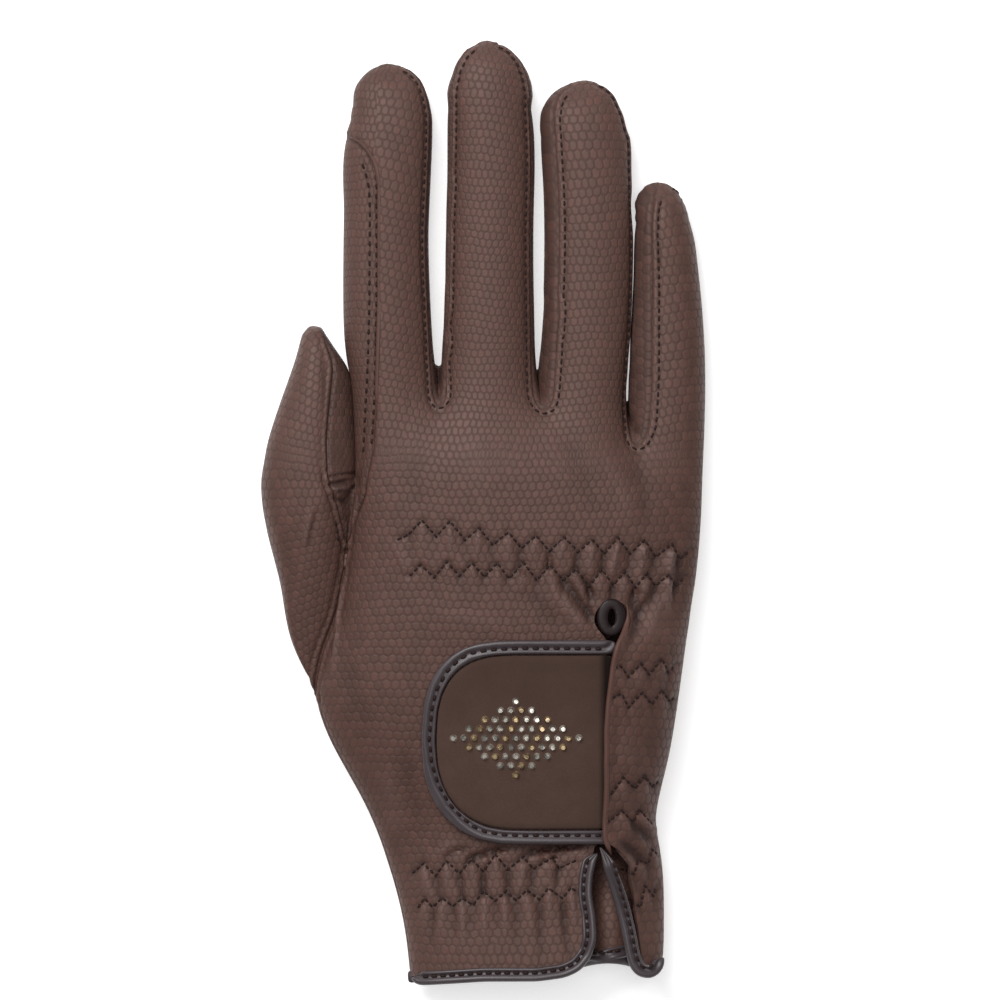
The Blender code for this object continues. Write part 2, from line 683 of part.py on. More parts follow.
def thumb_point(station, angle, base):
    stations = len(THUMB["depth"])
    last = stations - 1
    if station <= last:
        row = {name: values[station] for name, values in THUMB.items()}
        full = 1.0
        slide = 0.0
    else:
        row = {name: values[last] for name, values in THUMB.items()}
        full = THUMB_TIP["fullness"][station - stations]
        slide = sqrt(1 - full * full)
    outer = Vector((row["outer_x"] * PALM_WIDTH, row["outer_along"] * HAND_LENGTH, 0))
    inner = Vector((row["inner_x"] * PALM_WIDTH, row["inner_along"] * HAND_LENGTH, 0))
    tip = Vector((THUMB_TIP["x"] * PALM_WIDTH, THUMB_TIP["along"] * HAND_LENGTH, 0))
    grown = min(1.0, station / GUSSET_STATION)
    depth = row["depth"] * (THUMB_ROOT * HAND_DEPTH * (1 - grown) + THUMB_DEPTH * grown)
    across, up = section(angle, depth)
    crown = max(0.0, up / depth - WIDEST_SHARE) / (1 - WIDEST_SHARE)
    lean = THUMB_LEAN * (1 - across * across) * crown
    centre = (outer + inner) / 2
    arm = (inner - outer) / 2
    centre = centre.lerp(tip, slide)
    arm = arm * full
    point = centre + arm * (across + lean)
    point.z = TIP_HEIGHT * depth * (1 - full) + up * full
    return base.lerp(point, row["round"])


def cut_thumb():
    rings, across, ends = lay_thumb()
    count = len(rings[0])
    ridge = row_of(LAP_FOOT) - row_of(HOLE_LOW)
    tip_y = THUMB_TIP["along"] * HAND_LENGTH
    depth = THUMB["depth"][-1] * THUMB_DEPTH
    width = (THUMB["inner_x"][-1] - THUMB["outer_x"][-1]) * PALM_WIDTH
    closing = []
    for i in range(across + 1):
        key = ("thumb_tip", i)
        x = THUMB_TIP["x"] * PALM_WIDTH + TIP_LINE * width * (2 * i / across - 1)
        points[key] = Vector((x, tip_y, TIP_HEIGHT * depth))
        closing.append(key)
    last = closing + [closing[-1]] * (ends - 1) + closing[::-1] + [closing[0]] * (ends - 1)
    rings.append(last)
    for station in range(len(rings) - 1):
        low, high = rings[station], rings[station + 1]
        for i in range(count):
            after = (i + 1) % count
            panel = "thumb_outer"
            if ridge <= i < across + ends:
                panel = "thumb_gusset" if station < GUSSET_STATION else "thumb_inner"
            add_cell(panel, (low[i], low[after], high[after], high[i]))


# Walls

def skin_normals():
    normals = {key: Vector() for key in points}
    for faces in cells.values():
        for face in faces:
            corners = [points[key] for key in face]
            flat = (corners[2] - corners[0]).cross(corners[-1] - corners[1])
            for key in face:
                normals[key] += flat
    return {key: normal.normalized() for key, normal in normals.items() if normal.length > 0}


def panel_edges(faces):
    """Edges with one cell only, each as (start, stop) in its cell's own direction."""
    count = {}
    for face in faces:
        for a, b in zip(face, face[1:] + face[:1]):
            count[(a, b)] = count.get((a, b), 0) + 1
    return [edge for edge in count if (edge[1], edge[0]) not in count]


def inset_points(faces, normals):
    """The panel's points, with those on its edges drawn in by half a seam gap."""
    moved = {key: points[key].copy() for face in faces for key in face}
    pulls = {}
    for a, b in panel_edges(faces):
        along = points[b] - points[a]
        for key in (a, b):
            inward = normals[key].cross(along)
            if inward.length > 0:
                pulls.setdefault(key, []).append(inward.normalized())
    for key, inwards in pulls.items():
        total = sum(inwards, Vector())
        share = max(0.5, total.length_squared / (len(inwards) ** 2))
        if total.length > 0:
            moved[key] += total.normalized() * (SEAM_GAP / 2 / sqrt(share))
    return moved


def wall_mesh(faces, normals, outside, inside):
    """A closed wall over the panel's cells, from outside above the skin to inside below it."""
    moved = inset_points(faces, normals)
    order = {key: i for i, key in enumerate(moved)}
    count = len(order)
    vertices = [moved[key] + normals[key] * outside for key in order]
    vertices += [moved[key] - normals[key] * inside for key in order]
    polygons = [[order[key] for key in face] for face in faces]
    polygons += [[order[key] + count for key in reversed(face)] for face in faces]
    for a, b in panel_edges(faces):
        top, under = [order[b], order[a]], [order[a] + count, order[b] + count]
        # Both panels at a seam split its wall along the same diagonal.
        if str(a) < str(b):
            polygons += [top + [under[1]], [top[1]] + under]
        else:
            polygons += [top + [under[0]], [top[0]] + under]
    return vertices, polygons


# The tab and the eyelet

def tab_half_height(share, inset):
    """Half the tab's height at a share of its length from the round end, above and below its middle line."""
    round_length = TAB_ROUND_SHARE * TAB_LENGTH - inset
    from_end = share * (TAB_LENGTH - inset)
    half = TAB_HEIGHT / 2 - inset
    q = max(0.0, 1 - from_end / round_length)
    return [half * (1 - q ** n) ** (1 / n) for n in TAB_SQUARENESS]


def tab_outline(inset):
    """Points from the upper right corner round the free end to the lower right corner, in the plane."""
    left = gap_line(2, TAB_MIDDLE) + TAB_TUCK - TAB_LENGTH + inset
    length = TAB_LENGTH - inset
    outline = []
    for share in TAB_SHARES:
        upper, _ = tab_half_height(share, inset)
        outline.append((left + share * length, TAB_MIDDLE + upper))
    for share in reversed(TAB_SHARES[:-1]):
        _, lower = tab_half_height(share, inset)
        outline.append((left + share * length, TAB_MIDDLE - lower))
    return outline


def on_back(x, y, height):
    return Vector((x, y, back_z(x, y) + height))


def tab_plate():
    """The tab's own leather, laid over the back of the wrist inside its binding."""
    outline = tab_outline(TAB_BINDING_WIDTH + SEAM_GAP)
    half = len(outline) // 2
    rungs = []
    for i in range(half + 1):
        upper, lower = outline[i], outline[len(outline) - 1 - i]
        heights = [upper[1] + (lower[1] - upper[1]) * j / TAB_STEPS for j in range(TAB_STEPS + 1)]
        rungs.append([(upper[0], y) for y in heights])
    rise = TAB_CLEARANCE + (TAB_BINDING_THICKNESS - TAB_THICKNESS) / 2
    vertices = []
    for height in (rise + TAB_THICKNESS, rise):
        vertices += [on_back(x, y, height) for rung in rungs for x, y in rung]
    wide = len(rungs[0])
    size = wide * len(rungs)
    faces = []
    for i in range(len(rungs) - 1):
        for j in range(wide - 1):
            a = i * wide + j
            quad = [a, a + wide, a + wide + 1, a + 1]
            faces.append(quad)
    return closed_plate(vertices, faces, size)


def closed_plate(vertices, faces, size):
    merged = {}
    keep = []
    for i, vertex in enumerate(vertices):
        spot = tuple(round(value, 4) for value in vertex)
        if spot not in merged:
            merged[spot] = len(keep)
            keep.append(vertex)
    link = [merged[tuple(round(value, 4) for value in vertex)] for vertex in vertices]
    top = []
    for face in faces:
        corners = []
        for i in face:
            if link[i] not in corners:
                corners.append(link[i])
        if len(corners) > 2:
            top.append((face, corners))
    polygons = [corners for _, corners in top]
    under = {}
    for i in range(size):
        under[link[i]] = link[i + size]
    polygons += [[under[i] for i in reversed(corners)] for _, corners in top]
    edges = panel_edges([corners for _, corners in top])
    polygons += [[b, a, under[a], under[b]] for a, b in edges]
    return keep, polygons


def tab_band():
    """The tab's binding: a flat roll along its outline, open at the end under the right panel."""
    outer = tab_outline(0.0)
    inner = tab_outline(TAB_BINDING_WIDTH)
    vertices = []
    for (ox, oy), (ix, iy) in zip(outer, inner):
        ix = max(ix, ox)
        for height in (TAB_CLEARANCE + TAB_BINDING_THICKNESS, TAB_CLEARANCE):
            vertices.append(on_back(ox, oy, height))
            vertices.append(on_back(ix, iy, height))
    count = len(outer)
    faces = []
    for i in range(count - 1):
        a, b = 4 * i, 4 * i + 4
        faces.append([a, b, b + 1, a + 1])
        faces.append([a + 2, a + 3, b + 3, b + 2])
        faces.append([a, a + 2, b + 2, b])
        faces.append([a + 1, b + 1, b + 3, a + 3])
    end = 4 * (count - 1)
    faces.append([0, 1, 3, 2])
    faces.append([end, end + 2, end + 3, end + 1])
    return vertices, faces


def eyelet_ring():
    """The keyhole's bound rim, set into the opening in the back."""
    y0 = EYELET_MIDDLE * line_y(BACK_ROOTS, 3)
    x0 = gap_line(2, y0)
    vertices = []
    for i in range(EYELET_SIDES):
        angle = 2 * pi * i / EYELET_SIDES
        for width, height in ((EYELET_WIDTH, EYELET_HEIGHT), (KEYHOLE_WIDTH, KEYHOLE_HEIGHT)):
            x = x0 + width / 2 * cos(angle)
            y = y0 + height / 2 * sin(angle)
            for rise in ((EYELET_THICKNESS - WALL) / 2, (EYELET_THICKNESS - WALL) / 2 - EYELET_THICKNESS):
                vertices.append(on_back(x, y, rise))
    faces = []
    for i in range(EYELET_SIDES):
        a, b = 4 * i, 4 * ((i + 1) % EYELET_SIDES)
        faces.append([a, b, b + 2, a + 2])
        faces.append([a + 1, a + 3, b + 3, b + 1])
        faces.append([a, a + 1, b + 1, b])
        faces.append([a + 2, b + 2, b + 3, a + 3])
    return vertices, faces


# Blender objects

def material(name, colour, roughness):
    made = bpy.data.materials.new(name)
    made.use_nodes = True
    shader = made.node_tree.nodes["Principled BSDF"]
    shader.inputs["Base Color"].default_value = (*colour, 1.0)
    shader.inputs["Roughness"].default_value = roughness
    shader.inputs["Metallic"].default_value = 0.0
    return made


def add_object(name, vertices, faces, colour, roughness, shift):
    mesh = bpy.data.meshes.new(name)
    mesh.from_pydata([(vertex + shift) / 1000 for vertex in vertices], [], faces)
    mesh.materials.append(material(name, colour, roughness))
    mesh.validate()
    mesh.shade_smooth()
    mesh.set_sharp_from_angle(angle=radians(40))
    piece = bpy.data.objects.new(name, mesh)
    bpy.context.scene.collection.objects.link(piece)
    return piece


def build_skin():
    for finger in range(4):
        lay_strip("back", finger)
        lay_strip("palm", finger)
        lay_tip(finger)
    lay_fourchettes()
    lay_thumb_side()
    cut_strips()
    cut_sides()
    cut_hand_side()
    cut_thumb()


def main():
    for old in list(bpy.data.objects):
        bpy.data.objects.remove(old)
    build_skin()
    normals = skin_normals()
    leather = (0.155, 0.082, 0.062)
    dark = (0.060, 0.035, 0.030)
    suede = (0.120, 0.070, 0.055)
    shapes = {}
    for panel, faces in cells.items():
        if panel == "cuff_binding":
            shapes[panel] = (*wall_mesh(faces, normals, BINDING_PROUD, WALL + BINDING_PROUD), dark, 0.5)
        else:
            shapes[panel] = (*wall_mesh(faces, normals, 0.0, WALL), leather, 0.45)
    shapes["closure_tab"] = (*tab_plate(), suede, 0.8)
    shapes["tab_binding"] = (*tab_band(), leather, 0.5)
    shapes["vent_eyelet"] = (*eyelet_ring(), dark, 0.5)
    corners = np.array([vertex for shape in shapes.values() for vertex in shape[0]])
    low, high = corners.min(axis=0), corners.max(axis=0)
    shift = Vector((-(low[0] + high[0]) / 2, -(low[1] + high[1]) / 2, -low[2]))
    for name, (vertices, faces, colour, roughness) in shapes.items():
        add_object(name, vertices, faces, colour, roughness, shift)


main()
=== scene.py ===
import bpy
import bmesh
import numpy as np
from math import atan2, cos, hypot, pi, radians, sin, sqrt
from mathutils import Matrix, Vector
from mathutils.bvhtree import BVHTree
from mathutils.kdtree import KDTree


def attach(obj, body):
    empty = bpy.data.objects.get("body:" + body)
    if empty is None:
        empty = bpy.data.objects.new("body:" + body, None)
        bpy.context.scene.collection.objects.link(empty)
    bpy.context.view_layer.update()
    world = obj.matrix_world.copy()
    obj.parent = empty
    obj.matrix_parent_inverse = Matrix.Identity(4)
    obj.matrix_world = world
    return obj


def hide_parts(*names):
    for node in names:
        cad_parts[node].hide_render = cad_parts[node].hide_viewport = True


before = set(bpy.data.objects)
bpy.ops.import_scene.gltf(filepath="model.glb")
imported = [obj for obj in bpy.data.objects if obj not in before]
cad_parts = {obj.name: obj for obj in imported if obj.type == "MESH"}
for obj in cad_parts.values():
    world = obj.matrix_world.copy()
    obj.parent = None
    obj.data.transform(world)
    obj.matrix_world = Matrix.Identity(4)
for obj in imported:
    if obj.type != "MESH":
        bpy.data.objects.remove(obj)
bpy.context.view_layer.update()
mm = 0.001

# Places are read off the photograph in its own pixels: this one is straight above the origin
photo = {"pixel": 0.25 * mm, "originX": 482.6, "originY": 512.6}


def at(px, py):
    return ((px - photo["originX"]) * photo["pixel"], (photo["originY"] - py) * photo["pixel"])


def pixelOf(co):
    return co.x / photo["pixel"] + photo["originX"], photo["originY"] - co.y / photo["pixel"]


def deselect():
    for obj in bpy.context.selected_objects:
        obj.select_set(False)


def makeActive(obj):
    deselect()
    obj.select_set(True)
    bpy.context.view_layer.objects.active = obj


def applyModifiers(obj):
    makeActive(obj)
    for modifier in list(obj.modifiers):
        bpy.ops.object.modifier_apply(modifier=modifier.name)


def roundOff(obj, levels):
    modifier = obj.modifiers.new("round", "SUBSURF")
    modifier.levels = modifier.render_levels = levels
    applyModifiers(obj)


# A mesh is opened for one change and written back
def editMesh(mesh, change, *values):
    bm = bmesh.new()
    bm.from_mesh(mesh)
    change(bm, *values)
    bm.to_mesh(mesh)
    bm.free()


def newPiece(name, mesh):
    piece = bpy.data.objects.new(name, mesh)
    bpy.context.scene.collection.objects.link(piece)
    return piece


def faceOutwards(bm):
    bmesh.ops.recalc_face_normals(bm, faces=bm.faces)


def closedMesh(name, verts, faces):
    mesh = bpy.data.meshes.new(name)
    mesh.from_pydata(verts, [], faces)
    editMesh(mesh, faceOutwards)
    return mesh


def treeOf(meshes):
    bm = bmesh.new()
    for mesh in meshes:
        bm.from_mesh(mesh)
    tree = BVHTree.FromBMesh(bm)
    bm.free()
    return tree


def pointTree(points):
    tree = KDTree(len(points))
    for number, point in enumerate(points):
        tree.insert(point, number)
    tree.balance()
    return tree


# Where a line straight down through a pixel of the photograph meets these surfaces, each with its normal
def hitsUnder(trees, px, py):
    start = Vector((*at(px, py), 0.1))
    hits = [tree.ray_cast(start, Vector((0, 0, -1)))[:2] for tree in trees]
    return [hit for hit in hits if hit[0] is not None]


# Each point but the ends moves half way to the middle of its neighbours, three times
def evened(points):
    for turn in range(3):
        middles = [(a + b * 2 + c) / 4 for a, b, c in zip(points, points[1:], points[2:])]
        points = [points[0]] + middles + [points[-1]]
    return points


def bell(distance, middle, width):
    return np.exp(-((distance - middle) / width) ** 2)


# Leather: the outer side of each CAD panel, all sewn into one skin that is smoothed as a whole
leather = {"sharp": 40, "firstRound": 1, "lastRound": 2, "seamReach": 0.62 * mm, "wall": 1.15 * mm,
           "cadWall": 1.2 * mm, "longCell": 8.5 * mm, "innerShare": 0.12}
panels = ("back_panel", "palm_panel", "fourchette_index_middle", "fourchette_middle_ring",
          "fourchette_ring_little", "thumb_outer", "thumb_inner", "thumb_gusset")
backPanel, palmPanel = 0, 1
fingerSides = {2, 3, 4}
thumbPanels = {5, 6, 7}
thumbOuter, thumbInner = 5, 6
gloveTree = treeOf([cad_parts[node].data for node in panels])


# How many of a few rays from this point leave the glove: none do inside a finger
def looksOut(vert):
    start = vert.co + vert.normal * 0.1 * mm
    tilts = [(0, 0, 0)]
    for axis in range(3):
        tilts += [tuple(0.8 * side * (axis == n) for n in range(3)) for side in (-1, 1)]
    ways = [(vert.normal + Vector(tilt)).normalized() for tilt in tilts]
    return sum(gloveTree.ray_cast(start, way)[0] is None for way in ways)


# A rim point is judged by a settled point a wall's thickness away, which lies on the other side,
# or else by the settled point nearest to it along an edge
def acrossWall(waiting, side):
    known = list(side)
    tree = pointTree([vert.co for vert in known])
    best = None
    for vert in waiting:
        for place, number, far in tree.find_range(vert.co, leather["cadWall"] + 0.05 * mm):
            facing = abs((place - vert.co).normalized().dot(vert.normal))
            score = abs(far - leather["cadWall"]) / mm - 0.2 * facing
            if best is None or score < best[0]:
                best = (score, vert, not side[known[number]])
    if best:
        return best[1:]
    links = [(edge.calc_length(), vert, edge.other_vert(vert))
             for vert in waiting for edge in vert.link_edges]
    settled = [link for link in links if link[2] in side]
    length, vert, other = min(settled or links, key=lambda link: link[0])
    return vert, side.get(other, True)


# The vertices on the outer side of a closed wall: first what its sharp rim divides, then the rim itself
def outerSide(bm):
    rim = {vert for vert in bm.verts
           if sum(edge.calc_face_angle(0) > radians(leather["sharp"]) for edge in vert.link_edges) >= 2}
    side = {}
    for first in bm.verts:
        if first in rim or first in side:
            continue
        group, queue = {first}, [first]
        while queue:
            vert = queue.pop()
            for edge in vert.link_edges:
                near = edge.other_vert(vert)
                if near not in rim and near not in group:
                    group.add(near)
                    queue.append(near)
        outside = sum(looksOut(vert) for vert in group) > 0.5 * len(group)
        side.update({vert: outside for vert in group})
    waiting = set(rim)
    while waiting:
        found = {}
        for vert in waiting:
            others = [edge.other_vert(vert) for edge in vert.link_edges]
            near = [side[other] for other in others if other in side and other not in rim]
            if near:
                found[vert] = 2 * sum(near) > len(near)
        if not found:
            vert, outside = acrossWall(waiting, side)
            found[vert] = outside
        side.update(found)
        waiting -= set(found)
    return {vert for vert in side if side[vert]}


skin = bmesh.new()
for number, node in enumerate(panels):
    bm = bmesh.new()
    bm.from_mesh(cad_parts[node].data)
    bmesh.ops.remove_doubles(bm, verts=bm.verts, dist=1e-6)
    outside = outerSide(bm)
    made = {}
    for face in bm.faces:
        if all(vert in outside for vert in face.verts):
            for vert in face.verts:
                if vert not in made:
                    made[vert] = skin.verts.new(vert.co)
            skin.faces.new([made[vert] for vert in face.verts]).material_index = number
    print(node, "verts", len(bm.verts), "outside", len(outside), "used", len(made))
    bm.free()


# Sewing: the edges of neighbouring panels are joined and the odd small hole at a fingertip closed
borderPoints = [vert for vert in skin.verts if vert.is_boundary]
bmesh.ops.remove_doubles(skin, verts=borderPoints, dist=leather["seamReach"])
bmesh.ops.dissolve_degenerate(skin, edges=skin.edges, dist=0.02 * mm)
openEdges = [edge for edge in skin.edges if edge.is_boundary]
filled = bmesh.ops.holes_fill(skin, edges=openEdges, sides=10)["faces"]
for face in filled:
    near = [(edge.calc_length(), other.material_index) for edge in face.edges for other in edge.link_faces
            if other != face]
    face.material_index = max(near)[1] if near else 0
bmesh.ops.triangulate(skin, faces=[face for face in skin.faces if len(face.verts) > 4])
faceOutwards(skin)
bmesh.ops.join_triangles(skin, faces=skin.faces, cmp_materials=True, angle_face_threshold=radians(60),
                         angle_shape_threshold=radians(60))
print("skin", len(skin.verts), "vertices", len(skin.faces), "faces", len(filled), "holes filled",
      sum(edge.is_boundary for edge in skin.edges), "open edges")
skinMesh = bpy.data.meshes.new("gloveSkin")
skin.to_mesh(skinMesh)
skin.free()
glove = newPiece("gloveSkin", skinMesh)


# A value for each vertex of the glove, three numbers each
def vertexValues(name):
    values = np.empty(len(glove.data.vertices) * 3)
    glove.data.vertices.foreach_get(name, values)
    return values.reshape(-1, 3)


def placeVertices(places):
    glove.data.vertices.foreach_set("co", places.ravel())
    glove.data.update()


def relax(bm, verts, turns):
    for turn in range(turns):
        bmesh.ops.smooth_vert(bm, verts=verts, factor=0.5, use_axis_x=True, use_axis_y=True, use_axis_z=True)


# The closing line of each fingertip is pinched, so its corners are eased a little
def smoothTips(bm):
    pinched = {vert for edge in bm.edges if edge.calc_face_angle(0) > radians(95) for vert in edge.verts
               if vert.co.y > 79 * mm or (vert.co.x < -40 * mm and vert.co.y > 40 * mm)}
    relax(bm, list(pinched), 4)


# Cells on the fingers are long and narrow, so their long sides are halved
def cutLongCells(bm):
    long = [edge for edge in bm.edges if edge.calc_length() > leather["longCell"]]
    bmesh.ops.subdivide_edges(bm, edges=long, cuts=1, use_grid_fill=True)
    bmesh.ops.triangulate(bm, faces=[face for face in bm.faces if len(face.verts) > 4])
    bmesh.ops.join_triangles(bm, faces=bm.faces, cmp_materials=True, angle_face_threshold=radians(40),
                             angle_shape_threshold=radians(50))


# Middles of the fingertips' closing lines, in photograph pixels, and how far round them is eased, in mm
tips = [((392, 68), 4.6), ((486, 43), 4.6), ((575, 84), 4.6), ((586, 83), 3.6), ((663, 185), 4.0),
        ((316, 329), 3.6)]


# The tips' closing lines are eased again after each rounding
def easeTips(bm, reachShare, turns):
    for tip, reach in tips:
        centre = Vector(at(*tip))
        near = [vert for vert in bm.verts if (vert.co.xy - centre).length < reach * reachShare * mm]
        relax(bm, near, turns)


# Places where the outline is fuller than the CAD skin: pixel, shift right and up in mm, reach in mm
fuller = [((362, 88), (-1.5, 0.5), 9), ((386, 66), (0.2, 1.1), 9), ((347, 165), (-0.6, 0.0), 12),
          ((424, 100), (0.6, 0), 8), ((486, 43), (0, 1.3), 8), ((518, 60), (1.2, 0.4), 7),
          ((455, 66), (-0.5, 0.2), 7), ((552, 102), (-1.5, 0.5), 8), ((612, 98), (1.6, 0.4), 8),
          ((584, 83), (0, 1.1), 7), ((629, 140), (0.6, 0), 9), ((661, 185), (0, 0.6), 6),
          ((316, 328), (0, 0.5), 5)]


def fillOut():
    for vert in glove.data.vertices:
        for middle, shift, reach in fuller:
            x, y = at(*middle)
            near = max(0, 1 - ((vert.co.x - x) ** 2 + (vert.co.y - y) ** 2) / (reach * mm) ** 2) ** 2
            vert.co.x += shift[0] * mm * near
            vert.co.y += shift[1] * mm * near


# How far edges move sideways as they go down the picture, each as (row, pixels), and where some edges are:
# the little finger lies against the ring finger, and the thumb's inner side against the forefinger
touching = {
    "littleReach": 26,
    "littleEdge": [(205, 634), (212, 635), (250, 639), (320, 639), (341, 636), (389, 631.6), (425, 630)],
    "littleShift": [(190, 0), (200, 2), (220, 4.5), (260, 4.8), (300, 5.2), (341, 6.0), (389, 5.0), (425, 0)],
    "thumbEdge": [(334, 324), (345, 329), (360, 334.5), (375, 338.8), (390, 341), (405, 342.4),
        (420, 343.2), (440, 343.5)],
    "thumbShift": [(334, 0), (345, 3), (360, 7.5), (372, 12), (390, 11.5), (405, 11), (420, 10.5),
        (440, 11.5), (463, 12.5), (482, 10.5), (496, 0)],
    "ridgeShift": [(338, 0), (350, -2), (375, -6.5), (440, -8), (480, -6), (500, 0)],
    "rightShift": [(222, 0), (240, 3), (300, 4.2), (420, 4), (480, 5.2), (510, 6.2), (585, 6.2), (615, 4.5),
        (720, 5), (765, 6), (810, 4.5), (830, 3.5), (836, 5), (900, 5), (945, 4), (985, 1)],
    "leftShift": [(465, 0), (480, -3), (510, -4), (555, -2), (585, -3), (615, -8), (645, -12), (675, -8.5),
        (720, -3.5), (765, -1), (800, 0)],
    "fingerShift": [(120, 0), (135, -2.5), (150, -3), (180, -2), (240, -2), (300, -2.5), (345, -3),
        (368, -2), (380, 0)],
    "leftInner": [(465, 300), (600, 330), (700, 370), (800, 420)]}


def valueAt(name, py):
    return float(np.interp(py, *zip(*touching[name])))


def layTogether(bm):
    for vert in bm.verts:
        px, py = pixelOf(vert.co)
        onThumb = {face.material_index for face in vert.link_faces} & thumbPanels
        shift = 0
        edge = valueAt("littleEdge", py)
        reach = touching["littleReach"]
        if 190 < py < 425 and edge - 2.5 < px < edge + reach:
            shift -= valueAt("littleShift", py) * (1 - max(0, px - edge) / reach) ** 1.3
        if onThumb and 334 < py < 500 and 300 < px < 347:
            edge = valueAt("thumbEdge", py)
            amounts = [0, valueAt("ridgeShift", py), valueAt("thumbShift", py)]
            shift += float(np.interp(px, [300, edge - 8, edge], amounts))
        if py > 222 and px > 640:
            shift += valueAt("rightShift", py) * min(1, (px - 640) / 45)
        inner = valueAt("leftInner", py)
        if 465 < py < 800 and px < inner:
            shift += valueAt("leftShift", py) * min(1, (inner - px) / 40)
        if 120 < py < 380 and 335 < px < 385 and not onThumb:
            shift += valueAt("fingerShift", py) * min(1, (385 - px) / 30)
        vert.co.x += shift * photo["pixel"]


# The fingertips as the photograph shows them: a middle inside the tip, the finger's sides, the outline
tipOutlines = [
    ((389, 124), (330, 438),
     [(351, 120), (353, 105), (354, 91), (361, 77.5), (374, 67.5), (386, 63.7), (404, 67.5), (418, 77.5),
      (426, 94), (429.5, 107), (432, 122)]),
    ((490, 108), (438, 537),
     [(447.5, 104), (447.5, 90), (452, 76), (458, 60), (470, 47), (486, 40.5), (504, 46), (519, 59),
      (530, 79), (532.5, 91), (532.5, 104)]),
    ((584, 136), (537, 632.5),
     [(540, 132), (540.5, 119), (542, 110), (547, 101), (553, 93.5), (560, 88.5), (569, 84), (578, 81.3),
      (585, 80.5), (593, 81.5), (603.5, 86.6), (612.7, 94.7), (619.6, 108), (625.3, 125), (627, 134)]),
    ((659, 222), (633.5, 710),
     [(636.5, 212), (636.5, 199), (643.7, 188), (649.4, 183.6), (658.6, 182.3), (667.8, 183.7),
      (675.8, 189.4), (682.7, 199.7), (687.3, 210), (689.5, 218)])]
tipFit = {"bins": 40, "reach": 1.25, "least": 0.9, "most": 1.14, "sideFade": 0.65, "spare": 0.035,
          "inward": 2.5}


# Each tip is stretched or drawn in round its middle until its outline is the photograph's
def roundTips():
    spots = vertexValues("co")
    px = spots[:, 0] / photo["pixel"] + photo["originX"]
    bins = np.linspace(0, pi, tipFit["bins"] + 1)
    middles = (bins[1:] + bins[:-1]) / 2
    for (cx, cy), (left, right), outline in tipOutlines:
        centre = np.array(at(cx, cy))
        target = np.array([at(*point) for point in outline]) - centre
        targetTurn = np.arctan2(target[:, 1], -target[:, 0])
        targetFar = np.hypot(*target.T) * (1 + tipFit["spare"] * np.sin(targetTurn))
        step = spots[:, :2] - centre
        far = np.hypot(*step.T)
        turn = np.arctan2(step[:, 1], -step[:, 0])
        inside = (far < tipFit["reach"] * targetFar.max()) & (step[:, 1] > 0) & (px > left) & (px < right)
        near = np.where(inside)[0]
        present = np.zeros(tipFit["bins"])
        for n in range(tipFit["bins"]):
            inBin = near[(turn[near] >= bins[n]) & (turn[near] < bins[n + 1])]
            present[n] = far[inBin].max() if len(inBin) else 0
        full = present > 0
        ratio = np.interp(middles, targetTurn, targetFar) / np.interp(middles, middles[full], present[full])
        ratio = np.pad(np.clip(ratio, tipFit["least"], tipFit["most"]), 1, mode="edge")
        ratio = np.convolve(ratio, [0.25, 0.5, 0.25], "valid")
        outer = np.interp(turn[near], middles[full], present[full])
        sideFade = np.clip(np.minimum(turn[near], pi - turn[near]) / tipFit["sideFade"], 0, 1)
        inwardFade = np.clip(far[near] / outer, 0, 1) ** tipFit["inward"]
        scale = 1 + (np.interp(turn[near], middles, ratio) - 1) * inwardFade * sideFade
        spots[near, :2] = centre + step[near] * scale[:, None]
    placeVertices(spots)


editMesh(glove.data, smoothTips)
editMesh(glove.data, cutLongCells)
roundOff(glove, leather["firstRound"])
editMesh(glove.data, easeTips, 1.0, 12)
fillOut()
editMesh(glove.data, layTogether)

# The back is lapped over the palm side of the forefinger along this line, in photograph pixels
lap = {"arc": [(340, 134), (347, 136), (354, 139), (360, 143), (367, 151), (372, 160), (376, 170),
               (378, 182)],
       "side": [(378, 182), (378, 300), (377, 360), (376, 400), (373, 450), (368, 473), (365, 496),
                (356, 519), (349, 540)],
       "step": 0.75, "stepReach": 34, "dip": -0.5, "groove": -0.2}


# The border between back and palm is set on the lap's line, so that nothing shows beside it
def alignLap(bm):
    tree = BVHTree.FromBMesh(bm)
    for vert in bm.verts:
        px, py = pixelOf(vert.co)
        owners = {face.material_index for face in vert.link_faces}
        if owners != {backPanel, palmPanel} or px > 400 or vert.co.z < 4 * mm:
            continue
        for (x0, y0), (x1, y1) in zip(lap["side"], lap["side"][1:]):
            if y0 <= py < y1:
                for hit, normal in hitsUnder([tree], x0 + (x1 - x0) * (py - y0) / (y1 - y0), py):
                    if abs(hit.x - vert.co.x) < 4 * mm:
                        vert.co = hit


editMesh(glove.data, alignLap)


def markSeams(bm):
    for edge in bm.edges:
        edge.seam = len({face.material_index for face in edge.link_faces}) > 1


